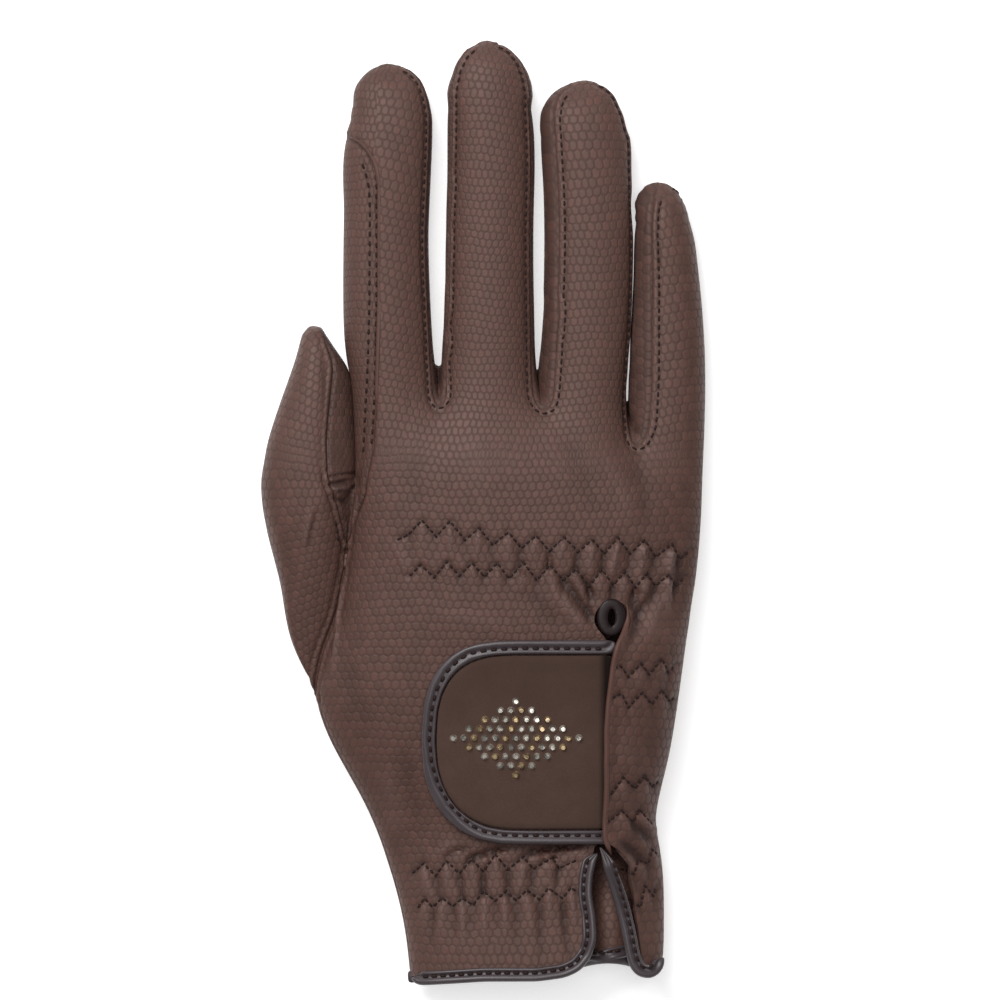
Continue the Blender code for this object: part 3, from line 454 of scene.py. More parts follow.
# Each panel is laid flat at full size, with its own y up the hand, so the grain follows the leather
def layFlat(bm):
    layer = bm.loops.layers.uv.active
    for number, node in enumerate(panels):
        faces = [face for face in bm.faces if face.material_index == number]
        loops = [loop for face in faces for loop in face.loops]
        flat = np.array([tuple(loop[layer].uv) for loop in loops])
        flat -= flat.mean(axis=0)
        place = np.array([tuple(loop.vert.co) for loop in loops])
        place -= place.mean(axis=0)
        real = sum(face.calc_area() for face in faces)
        drawn = 0.0
        for face in faces:
            corners = [loop[layer].uv for loop in face.loops]
            drawn += abs(sum(a.cross(b) for a, b in zip(corners, corners[1:] + corners[:1]))) / 2
        upU, upV = (flat * place[:, 1:2]).sum(axis=0)
        turn = atan2(upU, upV)
        for loop, (u, v) in zip(loops, flat * sqrt(real / drawn)):
            loop[layer].uv = (u * cos(turn) - v * sin(turn), u * sin(turn) + v * cos(turn))
        print("   ", node, "flattened", len(faces), "faces, area", round(real * 1e6), "mm2")


# The palm's part beside the forefinger takes its grain straight from its place
def layForefingerSide(bm):
    layer = bm.loops.layers.uv.active
    for face in bm.faces:
        middle = face.calc_center_median()
        beside = middle.x < at(400, 0)[0] and middle.y > 0 and face.normal.z > -0.3
        if face.material_index == palmPanel and beside:
            for loop in face.loops:
                loop[layer].uv = (loop.vert.co.x + loop.vert.co.z, loop.vert.co.y)


editMesh(glove.data, markSeams)
glove.data.uv_layers.new(name="leatherUV")
makeActive(glove)
bpy.ops.object.mode_set(mode="EDIT")
bpy.ops.mesh.select_all(action="SELECT")
bpy.ops.uv.unwrap(method="CONFORMAL", margin=0.001)
bpy.ops.object.mode_set(mode="OBJECT")
editMesh(glove.data, layFlat)
editMesh(glove.data, layForefingerSide)
roundOff(glove, leather["lastRound"])
editMesh(glove.data, easeTips, 0.55, 10)
for turn in range(3):
    roundTips()
print("smooth skin", len(glove.data.vertices), "vertices")


# The surface as numbers: where each point is in the photograph, which way it faces, how far it is moved out
place = vertexValues("co")
facing = vertexValues("normal")
count = len(place)
pictured = np.stack([place[:, 0] / photo["pixel"] + photo["originX"],
                     photo["originY"] - place[:, 1] / photo["pixel"]], axis=1)
upward = np.clip((facing[:, 2] + 0.1) / 0.45, 0, 1)
raised = np.zeros(count)
# The same profiles are also gathered for the leather's colour: painted shade in hollows, painted highlight on
# ridges
paintedShadeAndHighlight = np.zeros(count)
panelOf = np.full(count, -1)
for face in glove.data.polygons:
    panelOf[list(face.vertices)] = face.material_index
smoothTree = pointTree(place)


# For each spot: how far it is from a line, how far along the line that is, from 0 to 1, and on which side
def alongLine(spots, line):
    line = np.array(line, float)
    lengths = np.hypot(*np.diff(line, axis=0).T)
    far = np.full(len(spots), 1e9)
    along = np.zeros(len(spots))
    side = np.zeros(len(spots))
    for start, stop, length, before in zip(line, line[1:], lengths, np.cumsum(lengths) - lengths):
        way = (stop - start) / length
        step = spots - start
        reach = np.clip(step @ way, 0, length)
        gap = step - reach[:, None] * way
        distance = np.hypot(*gap.T)
        closer = distance < far
        far[closer] = distance[closer]
        along[closer] = before + reach[closer]
        side[closer] = (way[0] * gap[:, 1] - way[1] * gap[:, 0])[closer]
    return far, along / lengths.sum(), side


# A ridge along a line of photograph pixels, or a groove where amount, in mm, is negative; width is in pixels.
# The same profile is also kept as painted shade in the groove and painted highlight on the ridge
def shapeAlong(line, amount, width, where, fade=None):
    low = np.min(line, axis=0) - 4 * width
    high = np.max(line, axis=0) + 4 * width
    near = np.where(np.all((pictured > low) & (pictured < high), axis=1) & (upward > 0) & where)[0]
    if len(near) == 0:
        return
    far, share, side = alongLine(pictured[near], line)
    profile = bell(far, 0, width)
    if fade == "tail":
        profile *= np.clip(share / 0.12, 0, 1) * (1 - share) ** 0.8
    elif fade:
        profile *= np.clip(np.minimum(share, 1 - share) / fade, 0, 1)
    raised[near] += amount * mm * profile * upward[near]
    paintedShadeAndHighlight[near] += amount * profile * upward[near]


# Elastic rows: zigzag stitching read off the photograph, with the gathers that hang from each peak
rows = {
    "knuckleHigh": {
        "points": [(397, 540), (408.5, 534.5), (422.2, 520), (436.5, 536.6), (450, 521), (465, 539.7),
            (479.4, 528), (492.7, 544.8), (508.5, 532), (521.2, 548), (536, 535.6), (549.2, 550.8),
            (563.9, 537), (577.6, 551.3), (591.8, 539.7), (603.9, 553.4), (617.6, 537.6), (629.7, 553.4),
            (643.9, 539.7), (655, 556.6), (671.8, 543.9), (679.2, 558.7), (692, 549)],
        "gather": (0.16, 0.50), "reach": (26, 38), "lean": (0, -9)},
    "knuckleLow": {
        "points": [(409.5, 576.4), (420.7, 564.5), (434.5, 576.9), (447.2, 561.6), (459.5, 575.4),
            (472.2, 562.7), (484.5, 576.4), (497.2, 562.7), (509, 578), (523.3, 562.1), (536.6, 580),
            (549.7, 564.5), (562.9, 579.7), (575.5, 568.7), (588.7, 586), (601.3, 569.2), (612.9, 584.5),
            (624.5, 571.3), (635, 587), (646, 573.4), (655, 585.5), (668.2, 574.5), (675.5, 586), (687, 574)],
        "gather": (0.10, 0.48), "reach": (16, 34), "lean": (3, -5)},
    "cuffHigh": {
        "points": [(411.5, 874), (423.3, 863), (435.7, 875.3), (446.2, 860.3), (459.3, 872.7), (471.7, 859),
            (483.4, 870.7), (495.2, 853.5), (507.6, 868.8), (523.3, 856.3), (533.1, 868), (552.1, 856.3),
            (558.6, 867.5), (578.9, 858.3)],
        "gather": (0.30, 0.50), "reach": (34, 36), "lean": (8, -6)},
    "cuffLow": {
        "points": [(417.4, 908.6), (424.6, 898.2), (432.5, 906.7), (442.3, 897.5), (452.7, 905.4),
            (462.5, 897.5), (473, 904), (483.4, 890.3), (495.2, 900), (505.4, 890.3), (516.1, 899.5),
            (526.6, 889), (539.7, 898.8), (548.2, 887.1), (562.5, 897.5), (571, 886.4), (578, 893)],
        "gather": (0.26, 0.34), "reach": (40, 50), "lean": (-3, 6)},
    "sideTop": {
        "points": [(612, 668), (619.8, 664.7), (627.7, 675.6), (640.5, 662.7), (648.4, 673.6),
            (661.2, 657.8), (668.1, 671.6), (677, 664)],
        "gather": (0.14, 0.22), "reach": (20, 24), "lean": (0, 0)},
    "sideHigh": {
        "points": [(609.9, 697.3), (620.7, 692.3), (627.7, 706.2), (641.5, 691.4), (651.4, 703.2),
            (661.2, 689.4), (670.1, 701.2), (675, 697)],
        "gather": (0.12, 0.16), "reach": (18, 18), "lean": (0, 0)},
    "sideLow": {
        "points": [(609.9, 794), (622.7, 776.3), (634.6, 787.2), (644.4, 775.3), (652.3, 786.2), (661, 780)],
        "gather": (0.12, 0.18), "reach": (20, 20), "lean": (0, 0)},
    "sideFoot": {
        "points": [(604.9, 822.7), (621.7, 809.9), (632.6, 820.7), (639.5, 808.9), (653.3, 825.7)],
        "gather": (0.16, 0.28), "reach": (24, 24), "lean": (5, 8)},
    "lobeHigh": {
        "points": [(618.8, 870.1), (633.6, 873.1), (638, 859.3), (648.4, 863.2), (652.3, 849.4), (659, 856)],
        "gather": (0.18, 0.22), "reach": (22, 22), "lean": (5, 5)},
    "lobeLow": {
        "points": [(627.7, 898.8), (640.5, 906.7), (645, 885.5), (653.5, 896), (658, 884)],
        "gather": (0.14, 0.16), "reach": (22, 22), "lean": (4, 4)}}
handSide = np.isin(panelOf, (backPanel, palmPanel))
for row in rows.values():
    points = row["points"]
    shapeAlong(points, -0.42, 2.6, handSide)
    for number, (before, peak, after) in enumerate(zip(points, points[1:], points[2:])):
        uneven = sin(number * 2.7 + points[0][1])
        share = (peak[0] - points[0][0]) / (points[-1][0] - points[0][0])
        strength, reach, lean = (first + (last - first) * share
                                 for first, last in (row["gather"], row["reach"], row["lean"]))
        reach *= 1.1 + 0.3 * uneven
        lean += 3.5 * cos(number * 1.9)
        isPeak = peak[1] < before[1] and peak[1] < after[1]
        start = (peak[0], peak[1] + (3 if isPeak else -1))
        middle = (peak[0] + lean * 0.35, peak[1] + reach * 0.5)
        foot = (peak[0] + lean, peak[1] + reach)
        amount = (2.5 if isPeak else -2.1) * strength * (1 + 0.25 * uneven)
        shapeAlong([start, middle, foot], amount, 3.6, handSide, "tail")

# Drag folds round the vent and below the tab: line, height in mm, half width in pixels
folds = [
    ([(560, 572), (573, 593), (587, 612), (597, 628)], -0.55, 5.5),
    ([(548, 578), (562, 600), (580, 622), (590, 640)], 0.35, 7),
    ([(653, 588), (642, 606), (631, 631), (628, 650)], -0.60, 5.0),
    ([(664, 590), (655, 612), (646, 640)], 0.40, 6), ([(583, 572), (590, 590), (598, 604)], -0.35, 3.5),
    ([(575, 575), (583, 596), (594, 615)], 0.30, 4), ([(637, 585), (631, 600), (626, 615)], -0.35, 3.5),
    ([(520, 585), (545, 612), (572, 632)], -0.22, 8),
    ([(590, 844), (560, 848), (535, 851), (513, 862)], -0.95, 3.0),
    ([(592, 850), (565, 853), (540, 857), (522, 866)], 0.42, 3.2),
    ([(510, 846), (486, 852), (470, 858), (463, 867)], -0.80, 3.0),
    ([(512, 852), (490, 857), (476, 865)], 0.32, 3.2), ([(576, 850), (560, 855), (545, 863)], -0.60, 2.6),
    ([(590, 852), (576, 859), (566, 868)], 0.34, 2.8), ([(474, 848), (453, 851), (440, 859)], -0.45, 3.0),
    ([(462, 842), (445, 848), (432, 860)], 0.22, 4.5), ([(618, 838), (632, 850), (647, 863)], -0.75, 4.5),
    ([(612, 848), (626, 860), (640, 872)], 0.40, 4.5), ([(632, 820), (643, 832), (655, 846)], -0.60, 4.5),
    ([(640, 815), (650, 826), (660, 834)], 0.45, 4.5), ([(313, 504), (307, 534), (304, 552)], 0.30, 3.5),
    ([(318, 506), (312, 535), (308, 555)], -0.20, 3), ([(560, 420), (582, 470), (600, 520)], -0.14, 11),
    ([(470, 420), (478, 460), (484, 510)], 0.10, 12), ([(600, 440), (620, 480), (634, 530)], 0.14, 10),
    ([(637, 450), (644, 490), (650, 530)], -0.20, 9), ([(420, 440), (416, 480), (420, 515)], -0.12, 11),
    ([(395, 545), (402, 560), (408, 576)], 0.22, 2.6), ([(430, 610), (470, 620), (520, 628)], 0.12, 9),
    ([(340, 640), (352, 690), (372, 740)], -0.18, 11), ([(380, 760), (392, 800), (402, 840)], 0.20, 10),
    ([(400, 740), (412, 790), (420, 835)], -0.16, 9), ([(622, 730), (630, 750), (640, 768)], 0.12, 9),
    ([(652, 720), (650, 745), (648, 765)], -0.14, 8), ([(326, 486), (338, 483), (352, 480)], -0.45, 2.2),
    ([(327, 492), (338, 489), (352, 487)], 0.35, 2.2), ([(327, 497), (338, 500), (352, 504)], -0.40, 2.2),
    ([(344, 556), (343, 575), (338, 620), (330, 690)], 0.40, 1.8),
    ([(604, 846), (560, 847), (500, 849), (455, 862)], -0.30, 2.6),
    ([(606, 858), (585, 862), (572, 876)], 0.25, 2.2)]
foldDepth = 1.35
folded = np.isin(panelOf, (backPanel, palmPanel, *thumbPanels))
for line, amount, width in folds:
    shapeAlong(line, foldDepth * amount, width, folded, 0.3)


# The back's edge stands up over the forefinger: a step on the right of the lap's line, a dip on its left
def shapeLap():
    near = np.where((pictured[:, 0] < 430) & (pictured[:, 1] < 545) & (pictured[:, 1] > 100) & (upward > 0)
                    & handSide)[0]
    far, share, side = alongLine(pictured[near], lap["arc"] + lap["side"][1:])
    signed = np.where(side < 0, far, -far)
    fade = np.clip((560 - pictured[near, 1]) / 60, 0, 1) * upward[near]
    step = lap["step"] / (1 + np.exp(-(signed - 1.0) / 0.8)) * np.clip(1 - signed / lap["stepReach"], 0, 1)
    dip = lap["dip"] * bell(signed, -0.8, 1.8)
    groove = lap["groove"] * bell(signed, -8.5, 1.8) * (pictured[near, 1] > 158)
    raised[near] += (step + dip + groove) * mm * fade
    # The dip and the groove are also kept as painted shade in the leather's colour
    paintedShadeAndHighlight[near] += (1.3 * dip + groove) * fade


shapeLap()

# Seams fade at the very ends of the fingertips
tipFade = np.ones(count)
for tip, reach in tips:
    distance = np.hypot(*(place[:, :2] - np.array(at(*tip))).T) / mm
    tipFade = np.minimum(tipFade, np.clip((distance - 1.5) / 3.0, 0, 1))
print("folds done")


# Seams: each is drawn in at its line, with a raised leather edge beside it and a groove for the stitches
seamStyle = {"finger": {"dip": -0.34, "ridge": 0.26, "ridgeAt": 0.95, "groove": -0.28},
             "plain": {"dip": -0.32, "ridge": 0.20, "ridgeAt": 1.0, "groove": -0.20},
             "thumb": {"dip": -0.42, "ridge": 0.30, "ridgeAt": 1.1, "groove": 0.0}}
stitchLine = 1.95


def seamKind(pair, middle):
    if pair & fingerSides:
        return "finger"
    if pair == {backPanel, palmPanel} and middle.x < -20 * mm and middle.y > -10 * mm:
        return "lap" if middle.z > 3 * mm else "plain"
    if pair == {thumbOuter, thumbInner}:
        return "thumb"
    return "plain" if pair & thumbPanels or middle.y < 78 * mm else "finger"


seamEdges = {}
border = set()
bm = bmesh.new()
bm.from_mesh(glove.data)
for edge in bm.edges:
    pair = frozenset(face.material_index for face in edge.link_faces)
    if edge.is_boundary:
        border.update(vert.index for vert in edge.verts)
    elif len(pair) == 2:
        kind = seamKind(pair, (edge.verts[0].co + edge.verts[1].co) / 2)
        seamEdges.setdefault((pair, kind), []).append((edge.verts[0].index, edge.verts[1].index))
bm.free()

for (pair, kind), edges in seamEdges.items():
    if kind == "lap":
        continue
    tree = pointTree([place[a] * (1 - share) + place[b] * share
                      for a, b in edges for share in (0, 0.25, 0.5, 0.75)])
    style = seamStyle[kind]
    seamVerts = np.array(sorted({vert for edge in edges for vert in edge}))
    members = np.union1d(np.where(np.isin(panelOf, list(pair)))[0], seamVerts)
    low = place[seamVerts].min(axis=0) - 4 * mm
    high = place[seamVerts].max(axis=0) + 4 * mm
    members = members[np.all((place[members] > low) & (place[members] < high), axis=1)]
    distance = np.array([tree.find(place[member])[2] for member in members]) / mm
    stitched = style["ridge"] * bell(distance, style["ridgeAt"], 0.55)
    stitched += style["groove"] * bell(distance, stitchLine, 0.42)
    onTop = np.isin(panelOf[members], (backPanel, palmPanel, thumbOuter))
    lift = style["dip"] * bell(distance, 0, 0.36) + np.where(onTop, stitched, 0.08 * bell(distance, 0.9, 0.5))
    raised[members] += lift * mm * tipFade[members]
    # The seam's dip and stitch groove are also kept as painted shade, its raised edge as painted highlight
    paintedShadeAndHighlight[members] += 1.2 * lift * tipFade[members]
    print("   seam", kind, [panels[n] for n in pair], len(edges), "edges")

# Folded edge of the panel over the tab: it rolls up along the vent
rimTree = pointTree([place[vert] for vert in sorted(border)])
foldedEdge = {"left": 598, "right": 640, "top": 610, "foot": 845, "height": 0.35}
inside = np.where((pictured[:, 0] > foldedEdge["left"]) & (pictured[:, 0] < foldedEdge["right"])
                  & (pictured[:, 1] > foldedEdge["top"]) & (pictured[:, 1] < foldedEdge["foot"])
                  & (panelOf == backPanel))[0]
for vert in inside:
    distance = rimTree.find(place[vert])[2] / mm
    raised[vert] += foldedEdge["height"] * mm * (bell(distance, 0.9, 0.9) - 0.45 * bell(distance, 3.2, 0.9))

# Under the vent the palm's leather bulges up, so that it shows between the two bound edges
bulge = {"x": 610, "y": 950, "halfWidth": 38, "halfHeight": 130, "height": 10.5, "drawnUp": 2.4}
hemDrop = {"from": 948, "over": 18, "ventX": 614, "ventHalf": 14, "drop": 1.6}


def bulgeAt(px, py):
    return (np.clip(1 - ((px - bulge["x"]) / bulge["halfWidth"]) ** 2, 0, 1) ** 1.5
            * np.clip(1 - ((py - bulge["y"]) / bulge["halfHeight"]) ** 2, 0, 1) ** 1.5)


under = np.where((panelOf == palmPanel) & (facing[:, 2] < -0.2))[0]
hump = bulgeAt(pictured[under, 0], pictured[under, 1])
shaped = place + facing * raised[:, None]
shaped[under, 2] += bulge["height"] * mm * hump
shaped[under, 1] += bulge["drawnUp"] * mm * hump
hem = np.where((pictured[:, 1] > hemDrop["from"]) & (facing[:, 2] > 0)
               & (np.abs(pictured[:, 0] - hemDrop["ventX"]) > hemDrop["ventHalf"]))[0]
shaped[hem, 1] -= hemDrop["drop"] * mm * np.clip((pictured[hem, 1] - hemDrop["from"]) / hemDrop["over"], 0, 1)
# Kept on the skin for the leather's colour: painted shade where it is negative, painted highlight where
# positive
paintedShadeAndHighlightValues = glove.data.attributes.new("paintedShadeAndHighlight", "FLOAT", "POINT").data
paintedShadeAndHighlightValues.foreach_set("value", np.clip(paintedShadeAndHighlight, -1, 1).astype(np.float32))
placeVertices(shaped)
print("seams done")

skinTree = treeOf([glove.data])


# Panels: each is cut out of the skin and given its wall, whose inner side stays inside the skin
def cutPanel(number, name):
    bm = bmesh.new()
    bm.from_mesh(glove.data)
    bmesh.ops.delete(bm, geom=[face for face in bm.faces if face.material_index != number], context="FACES")
    mesh = bpy.data.meshes.new(name)
    bm.to_mesh(mesh)
    bm.free()
    mesh.materials.clear()
    piece = newPiece(name, mesh)
    modifier = piece.modifiers.new("wall", "SOLIDIFY")
    modifier.thickness = leather["wall"]
    modifier.offset = -1
    modifier.shell_vertex_group = "inside"
    piece.vertex_groups.new(name="inside")
    thinner = piece.modifiers.new("thinner", "DECIMATE")
    thinner.ratio = 0.5 + leather["innerShare"] / 2
    thinner.vertex_group = "inside"
    applyModifiers(piece)
    for vert in piece.data.vertices:
        nearest, normal = skinTree.find_nearest(vert.co)[:2]
        if (vert.co - nearest).dot(normal) > 0.05 * mm:
            vert.co = nearest - normal * 0.3 * mm
    piece.data.shade_smooth()
    makeActive(piece)
    bpy.ops.object.shade_smooth_by_angle(angle=radians(50))
    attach(piece, "root")
    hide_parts(panels[number])
    return piece


panelPieces = {}
for number, node in enumerate(panels):
    panelPieces[node] = cutPanel(number, node + "_leather")
    print("   ", node, len(panelPieces[node].data.polygons), "faces")


# Bindings, tab and eyelet: each CAD solid is rounded over, and the bindings get their rolled edge
solid = {"roll": 0.28, "channel": -0.50, "lip": 0.12, "facing": 0.15}
tabLine = [(603, 639.5), (560, 639), (520, 639), (495, 640), (480, 642), (466, 645), (452, 654), (440, 666),
           (430, 684), (424, 706), (421, 738), (424, 765), (431, 787), (443, 808), (458, 824), (470, 833),
           (483, 839), (500, 842), (530, 843), (603, 843)]


def mergeTriangles(bm):
    bmesh.ops.remove_doubles(bm, verts=bm.verts, dist=1e-6)
    bmesh.ops.join_triangles(bm, faces=bm.faces, angle_face_threshold=radians(30),
                             angle_shape_threshold=radians(60))


def solidPiece(node, name, levels):
    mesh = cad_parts[node].data.copy()
    mesh.materials.clear()
    piece = newPiece(name, mesh)
    editMesh(mesh, mergeTriangles)
    halved = piece.modifiers.new("halved", "SUBSURF")
    halved.subdivision_type = "SIMPLE"
    halved.levels = halved.render_levels = 1
    roundOff(piece, levels)
    piece.data.shade_smooth()
    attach(piece, "root")
    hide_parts(node)
    return piece


# A round outer roll, a sunken row for the stitches and a narrow inner lip, along the outer edge's line
def rollEdge(piece, line):
    distances = alongLine(np.array([pixelOf(vert.co) for vert in piece.data.vertices]), line)[0]
    for vert, distance in zip(piece.data.vertices, distances):
        if vert.normal.z < solid["facing"]:
            continue
        lift = solid["roll"] * bell(distance, 3, 2.6) + solid["channel"] * bell(distance, 8.4, 1.9)
        lift += solid["lip"] * bell(distance, 12, 1.4)
        vert.co += vert.normal * float(lift) * mm * min(1, (vert.normal.z - solid["facing"]) / 0.3)
    piece.data.update()


# The corner of the hem is turned round: a square of the picture is pressed into a quarter disc
def roundCorner(piece, cornerX, cornerY, side, radius, above=7):
    for vert in piece.data.vertices:
        px, py = pixelOf(vert.co)
        u = side * (px - cornerX) / radius + 1
        v = (py - cornerY) / radius + 1
        if u <= 0 or v <= 0 or u > 1.3 or v > 1.3 or vert.co.z < above * mm:
            continue
        vert.co.x += side * u * (sqrt(max(0, 1 - v * v / 2)) - 1) * radius * photo["pixel"]
        vert.co.y -= v * (sqrt(max(0, 1 - u * u / 2)) - 1) * radius * photo["pixel"]
    piece.data.update()


cuffBinding = solidPiece("cuff_binding", "cuff_binding_rolled", 2)
tabBinding = solidPiece("tab_binding", "tab_binding_rolled", 2)
tabPlate = solidPiece("closure_tab", "closure_tab_suede", 1)
eyelet = solidPiece("vent_eyelet", "vent_eyelet_bound", 2)
rollEdge(tabBinding, tabLine)
wider = {"middle": at(610.8, 617), "across": 0.06, "up": 0.04}
for vert in eyelet.data.vertices:
    vert.co.x += wider["across"] * (vert.co.x - wider["middle"][0])
    vert.co.y += wider["up"] * (vert.co.y - wider["middle"][1])
roundCorner(panelPieces["back_panel"], 594, 976, 1, 30)
roundCorner(panelPieces["back_panel"], 629, 975, -1, 16)
for piece in (panelPieces["back_panel"], panelPieces["palm_panel"], cuffBinding):
    roundCorner(piece, 664, 974, 1, 20, -1)
print("bindings", [len(piece.data.polygons) for piece in (cuffBinding, tabBinding, tabPlate, eyelet)])


# Stitches: one short thread with tapered ends, set along each seam and row
thread = {"sides": 6, "rings": [(-0.5, 0.25), (-0.36, 0.85), (0.0, 1.0), (0.36, 0.85), (0.5, 0.25)],
          "seamPitch": 2.1, "seamLength": 1.35, "seamRadius": 0.30,
          "rowPitch": 1.62, "rowLength": 1.15, "rowRadius": 0.34}
surfaceTree = treeOf([panelPieces[node].data for node in panels])


# Each place is a point, a direction and a normal
def sewStitches(name, places, length, radius):
    sides = thread["sides"]
    rings = thread["rings"]
    verts = []
    faces = []
    for point, way, normal in places:
        way = way.normalized()
        across = way.cross(normal).normalized()
        up = across.cross(way).normalized()
        start = len(verts)
        for along, size in rings:
            for n in range(sides):
                turn = 2 * pi * n / sides
                outward = across * cos(turn) + up * sin(turn)
                verts.append(point + way * along * length * mm + outward * radius * size * mm)
        for ring in range(len(rings) - 1):
            for n in range(sides):
                a = start + ring * sides + n
                b = start + ring * sides + (n + 1) % sides
                faces.append((a, b, b + sides, a + sides))
        faces.append(tuple(start + n for n in reversed(range(sides))))
        faces.append(tuple(start + (len(rings) - 1) * sides + n for n in range(sides)))
    piece = newPiece(name, closedMesh(name, verts, faces))
    piece.data.shade_smooth()
    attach(piece, "root")
    print("   ", name, len(places), "stitches")
    return piece


# Places along a chain of 3-D points, each with its direction
def walk(points, pitch, start=0.5):
    found = []
    left = pitch * start
    for a, b in zip(points, points[1:]):
        length = (b - a).length
        if length < 1e-7:
            continue
        while left <= length:
            found.append((a + (b - a) * (left / length), (b - a).normalized()))
            left += pitch
        left -= length
    return found


# A line of photograph pixels laid on the highest surface under it
def dropped(line, trees):
    points = []
    for (x0, y0), (x1, y1) in zip(line, line[1:]):
        steps = max(2, int(hypot(x1 - x0, y1 - y0) / 2))
        for n in range(steps):
            hits = hitsUnder(trees, x0 + (x1 - x0) * n / steps, y0 + (y1 - y0) * n / steps)
            if hits:
                points.append(max(hits, key=lambda hit: hit[0].z)[0])
    return points


def rowPlaces(line, tree, pitch, sink=0.02):
    places = []
    for point, way in walk(dropped(line, [tree]), pitch * mm):
        normal = tree.find_nearest(point)[1]
        if normal.z < 0:
            normal = -normal
        places.append((point - normal * sink * mm, way, normal))
    return places


rowStitches = []
for row in rows.values():
    rowStitches += rowPlaces(row["points"], surfaceTree, thread["rowPitch"])
sewStitches("row_stitches", rowStitches, thread["rowLength"], thread["rowRadius"])


# Seam edges strung together into chains of vertices
def chains(edges):
    near = {}
    for a, b in edges:
        near.setdefault(a, []).append(b)
        near.setdefault(b, []).append(a)
    used = set()
    found = []
    starts = [v for v in near if len(near[v]) != 2] + list(near)
    for start in starts:
        for second in near[start]:
            if frozenset((start, second)) in used:
                continue
            chain = [start, second]
            used.add(frozenset((start, second)))
            while len(near[chain[-1]]) == 2:
                following = [v for v in near[chain[-1]] if frozenset((chain[-1], v)) not in used]
                if not following:
                    break
                used.add(frozenset((chain[-1], following[0])))
                chain.append(following[0])
            found.append(chain)
    return found


# Stitches on one panel, beside a seam and level with it
def seamPlaces(chain, panel, inset):
    runs = [[]]
    for n, vert in enumerate(chain):
        before = Vector(place[chain[max(0, n - 3)]])
        after = Vector(place[chain[min(len(chain) - 1, n + 3)]])
        inward = Vector(facing[vert]).cross(after - before).normalized()
        here = Vector(place[vert])
        sides = [panelOf[smoothTree.find(here + inward * way * 2.2 * mm)[1]] == panel for way in (1, -1)]
        if sides[0] == sides[1]:
            runs.append([])
        else:
            runs[-1].append(here + inward * (1 if sides[0] else -1) * inset * mm)
    places = []
    for run in runs:
        if len(run) < 6:
            continue
        onSkin = [surfaceTree.find_nearest(point)[0] for point in evened(run)]
        for point, way in walk(onSkin, thread["seamPitch"] * mm):
            closest = smoothTree.find(point)[1]
            if tipFade[closest] > 0.4:
                places.append((point, way, Vector(facing[closest])))
    return places


seamStitches = []
for (pair, kind), edges in seamEdges.items():
    if kind == "finger":
        for chain in chains(edges):
            for panel in pair & {backPanel, palmPanel}:
                if panel == backPanel or backPanel not in pair:
                    seamStitches += seamPlaces(chain, panel, stitchLine)
kept = []
for stitch in seamStitches:
    if all((stitch[0] - other[0]).length > 1.5 * mm for other in kept[-400:]):
        kept.append(stitch)
sewStitches("finger_stitches", kept, thread["seamLength"], thread["seamRadius"])

lapRow = [(376.5, 182), (376.5, 300), (375.5, 360), (374.5, 400), (371.5, 450)]
lapSecond = [(361.7, 162), (366, 175), (369, 188), (370, 210), (369.5, 300), (368, 360), (366, 400),
             (363, 455)]
gussetRow = [(335, 520), (337, 529), (338, 538), (339, 546)]
lapStitches = rowPlaces(lapSecond, surfaceTree, 2.45) + rowPlaces(gussetRow, surfaceTree, 1.9)
lapStitches += rowPlaces(lapRow, surfaceTree, 2.45)
sewStitches("lap_stitches", lapStitches, 1.4, 0.34)


# Rolled strips: a section swept along an edge, given in mm across from the outer edge and up from the leather
strips = {
    "binding": [(-0.15, -0.3), (-0.05, 0.35), (0.35, 0.85), (0.95, 0.98), (1.45, 0.70), (1.75, 0.22),
                (2.15, 0.05), (2.5, 0.12), (2.75, 0.42), (3.1, 0.46), (3.45, 0.15), (3.5, -0.5), (1.7, -1.5),
                (0.4, -1.6)],
    "edge": [(-0.25, -0.35), (-0.15, 0.25), (0.25, 0.58), (0.7, 0.6), (1.05, 0.3), (1.3, -0.1), (0.6, -0.6)],
    "fold": [(-0.35, -0.9), (-0.30, 0.08), (0.1, 0.45), (0.65, 0.48), (1.25, 0.22), (1.9, -0.22),
             (1.0, -1.0)]}


# The line at even steps, with its corners rounded
def smoothLine(line, spacing):
    line = [Vector(point).to_3d() for point in line]
    points = [point for point, way in walk(line, spacing, 0.0)] + [line[-1]]
    return [(point.x, point.y) for point in evened(points)]


# Where a strip's section is set: base point, way inward, normal, and how far inward the surface was met
def stripSteps(line, tree, searches, cover):
    steps = []
    for n, (px, py) in enumerate(line):
        before, after = line[max(0, n - 1)], line[min(len(line) - 1, n + 1)]
        way = Vector((after[0] - before[0], before[1] - after[1], 0)).normalized()
        inward = Vector((-way.y, way.x, 0))
        for search in searches:
            hits = [hit for hit in hitsUnder([tree], px + inward.x * search, py - inward.y * search)
                    if hit[0].z > 6 * mm]
            if hits:
                point, normal = hits[0]
                height = point.z
                for further in cover:
                    for spot, slope in hitsUnder([tree], px + inward.x * further, py - inward.y * further):
                        height = max(height, spot.z)
                base = Vector((*at(px, py), height))
                steps.append([base, inward, normal if normal.z > 0 else -normal, 0 if cover else search])
                break
    return steps


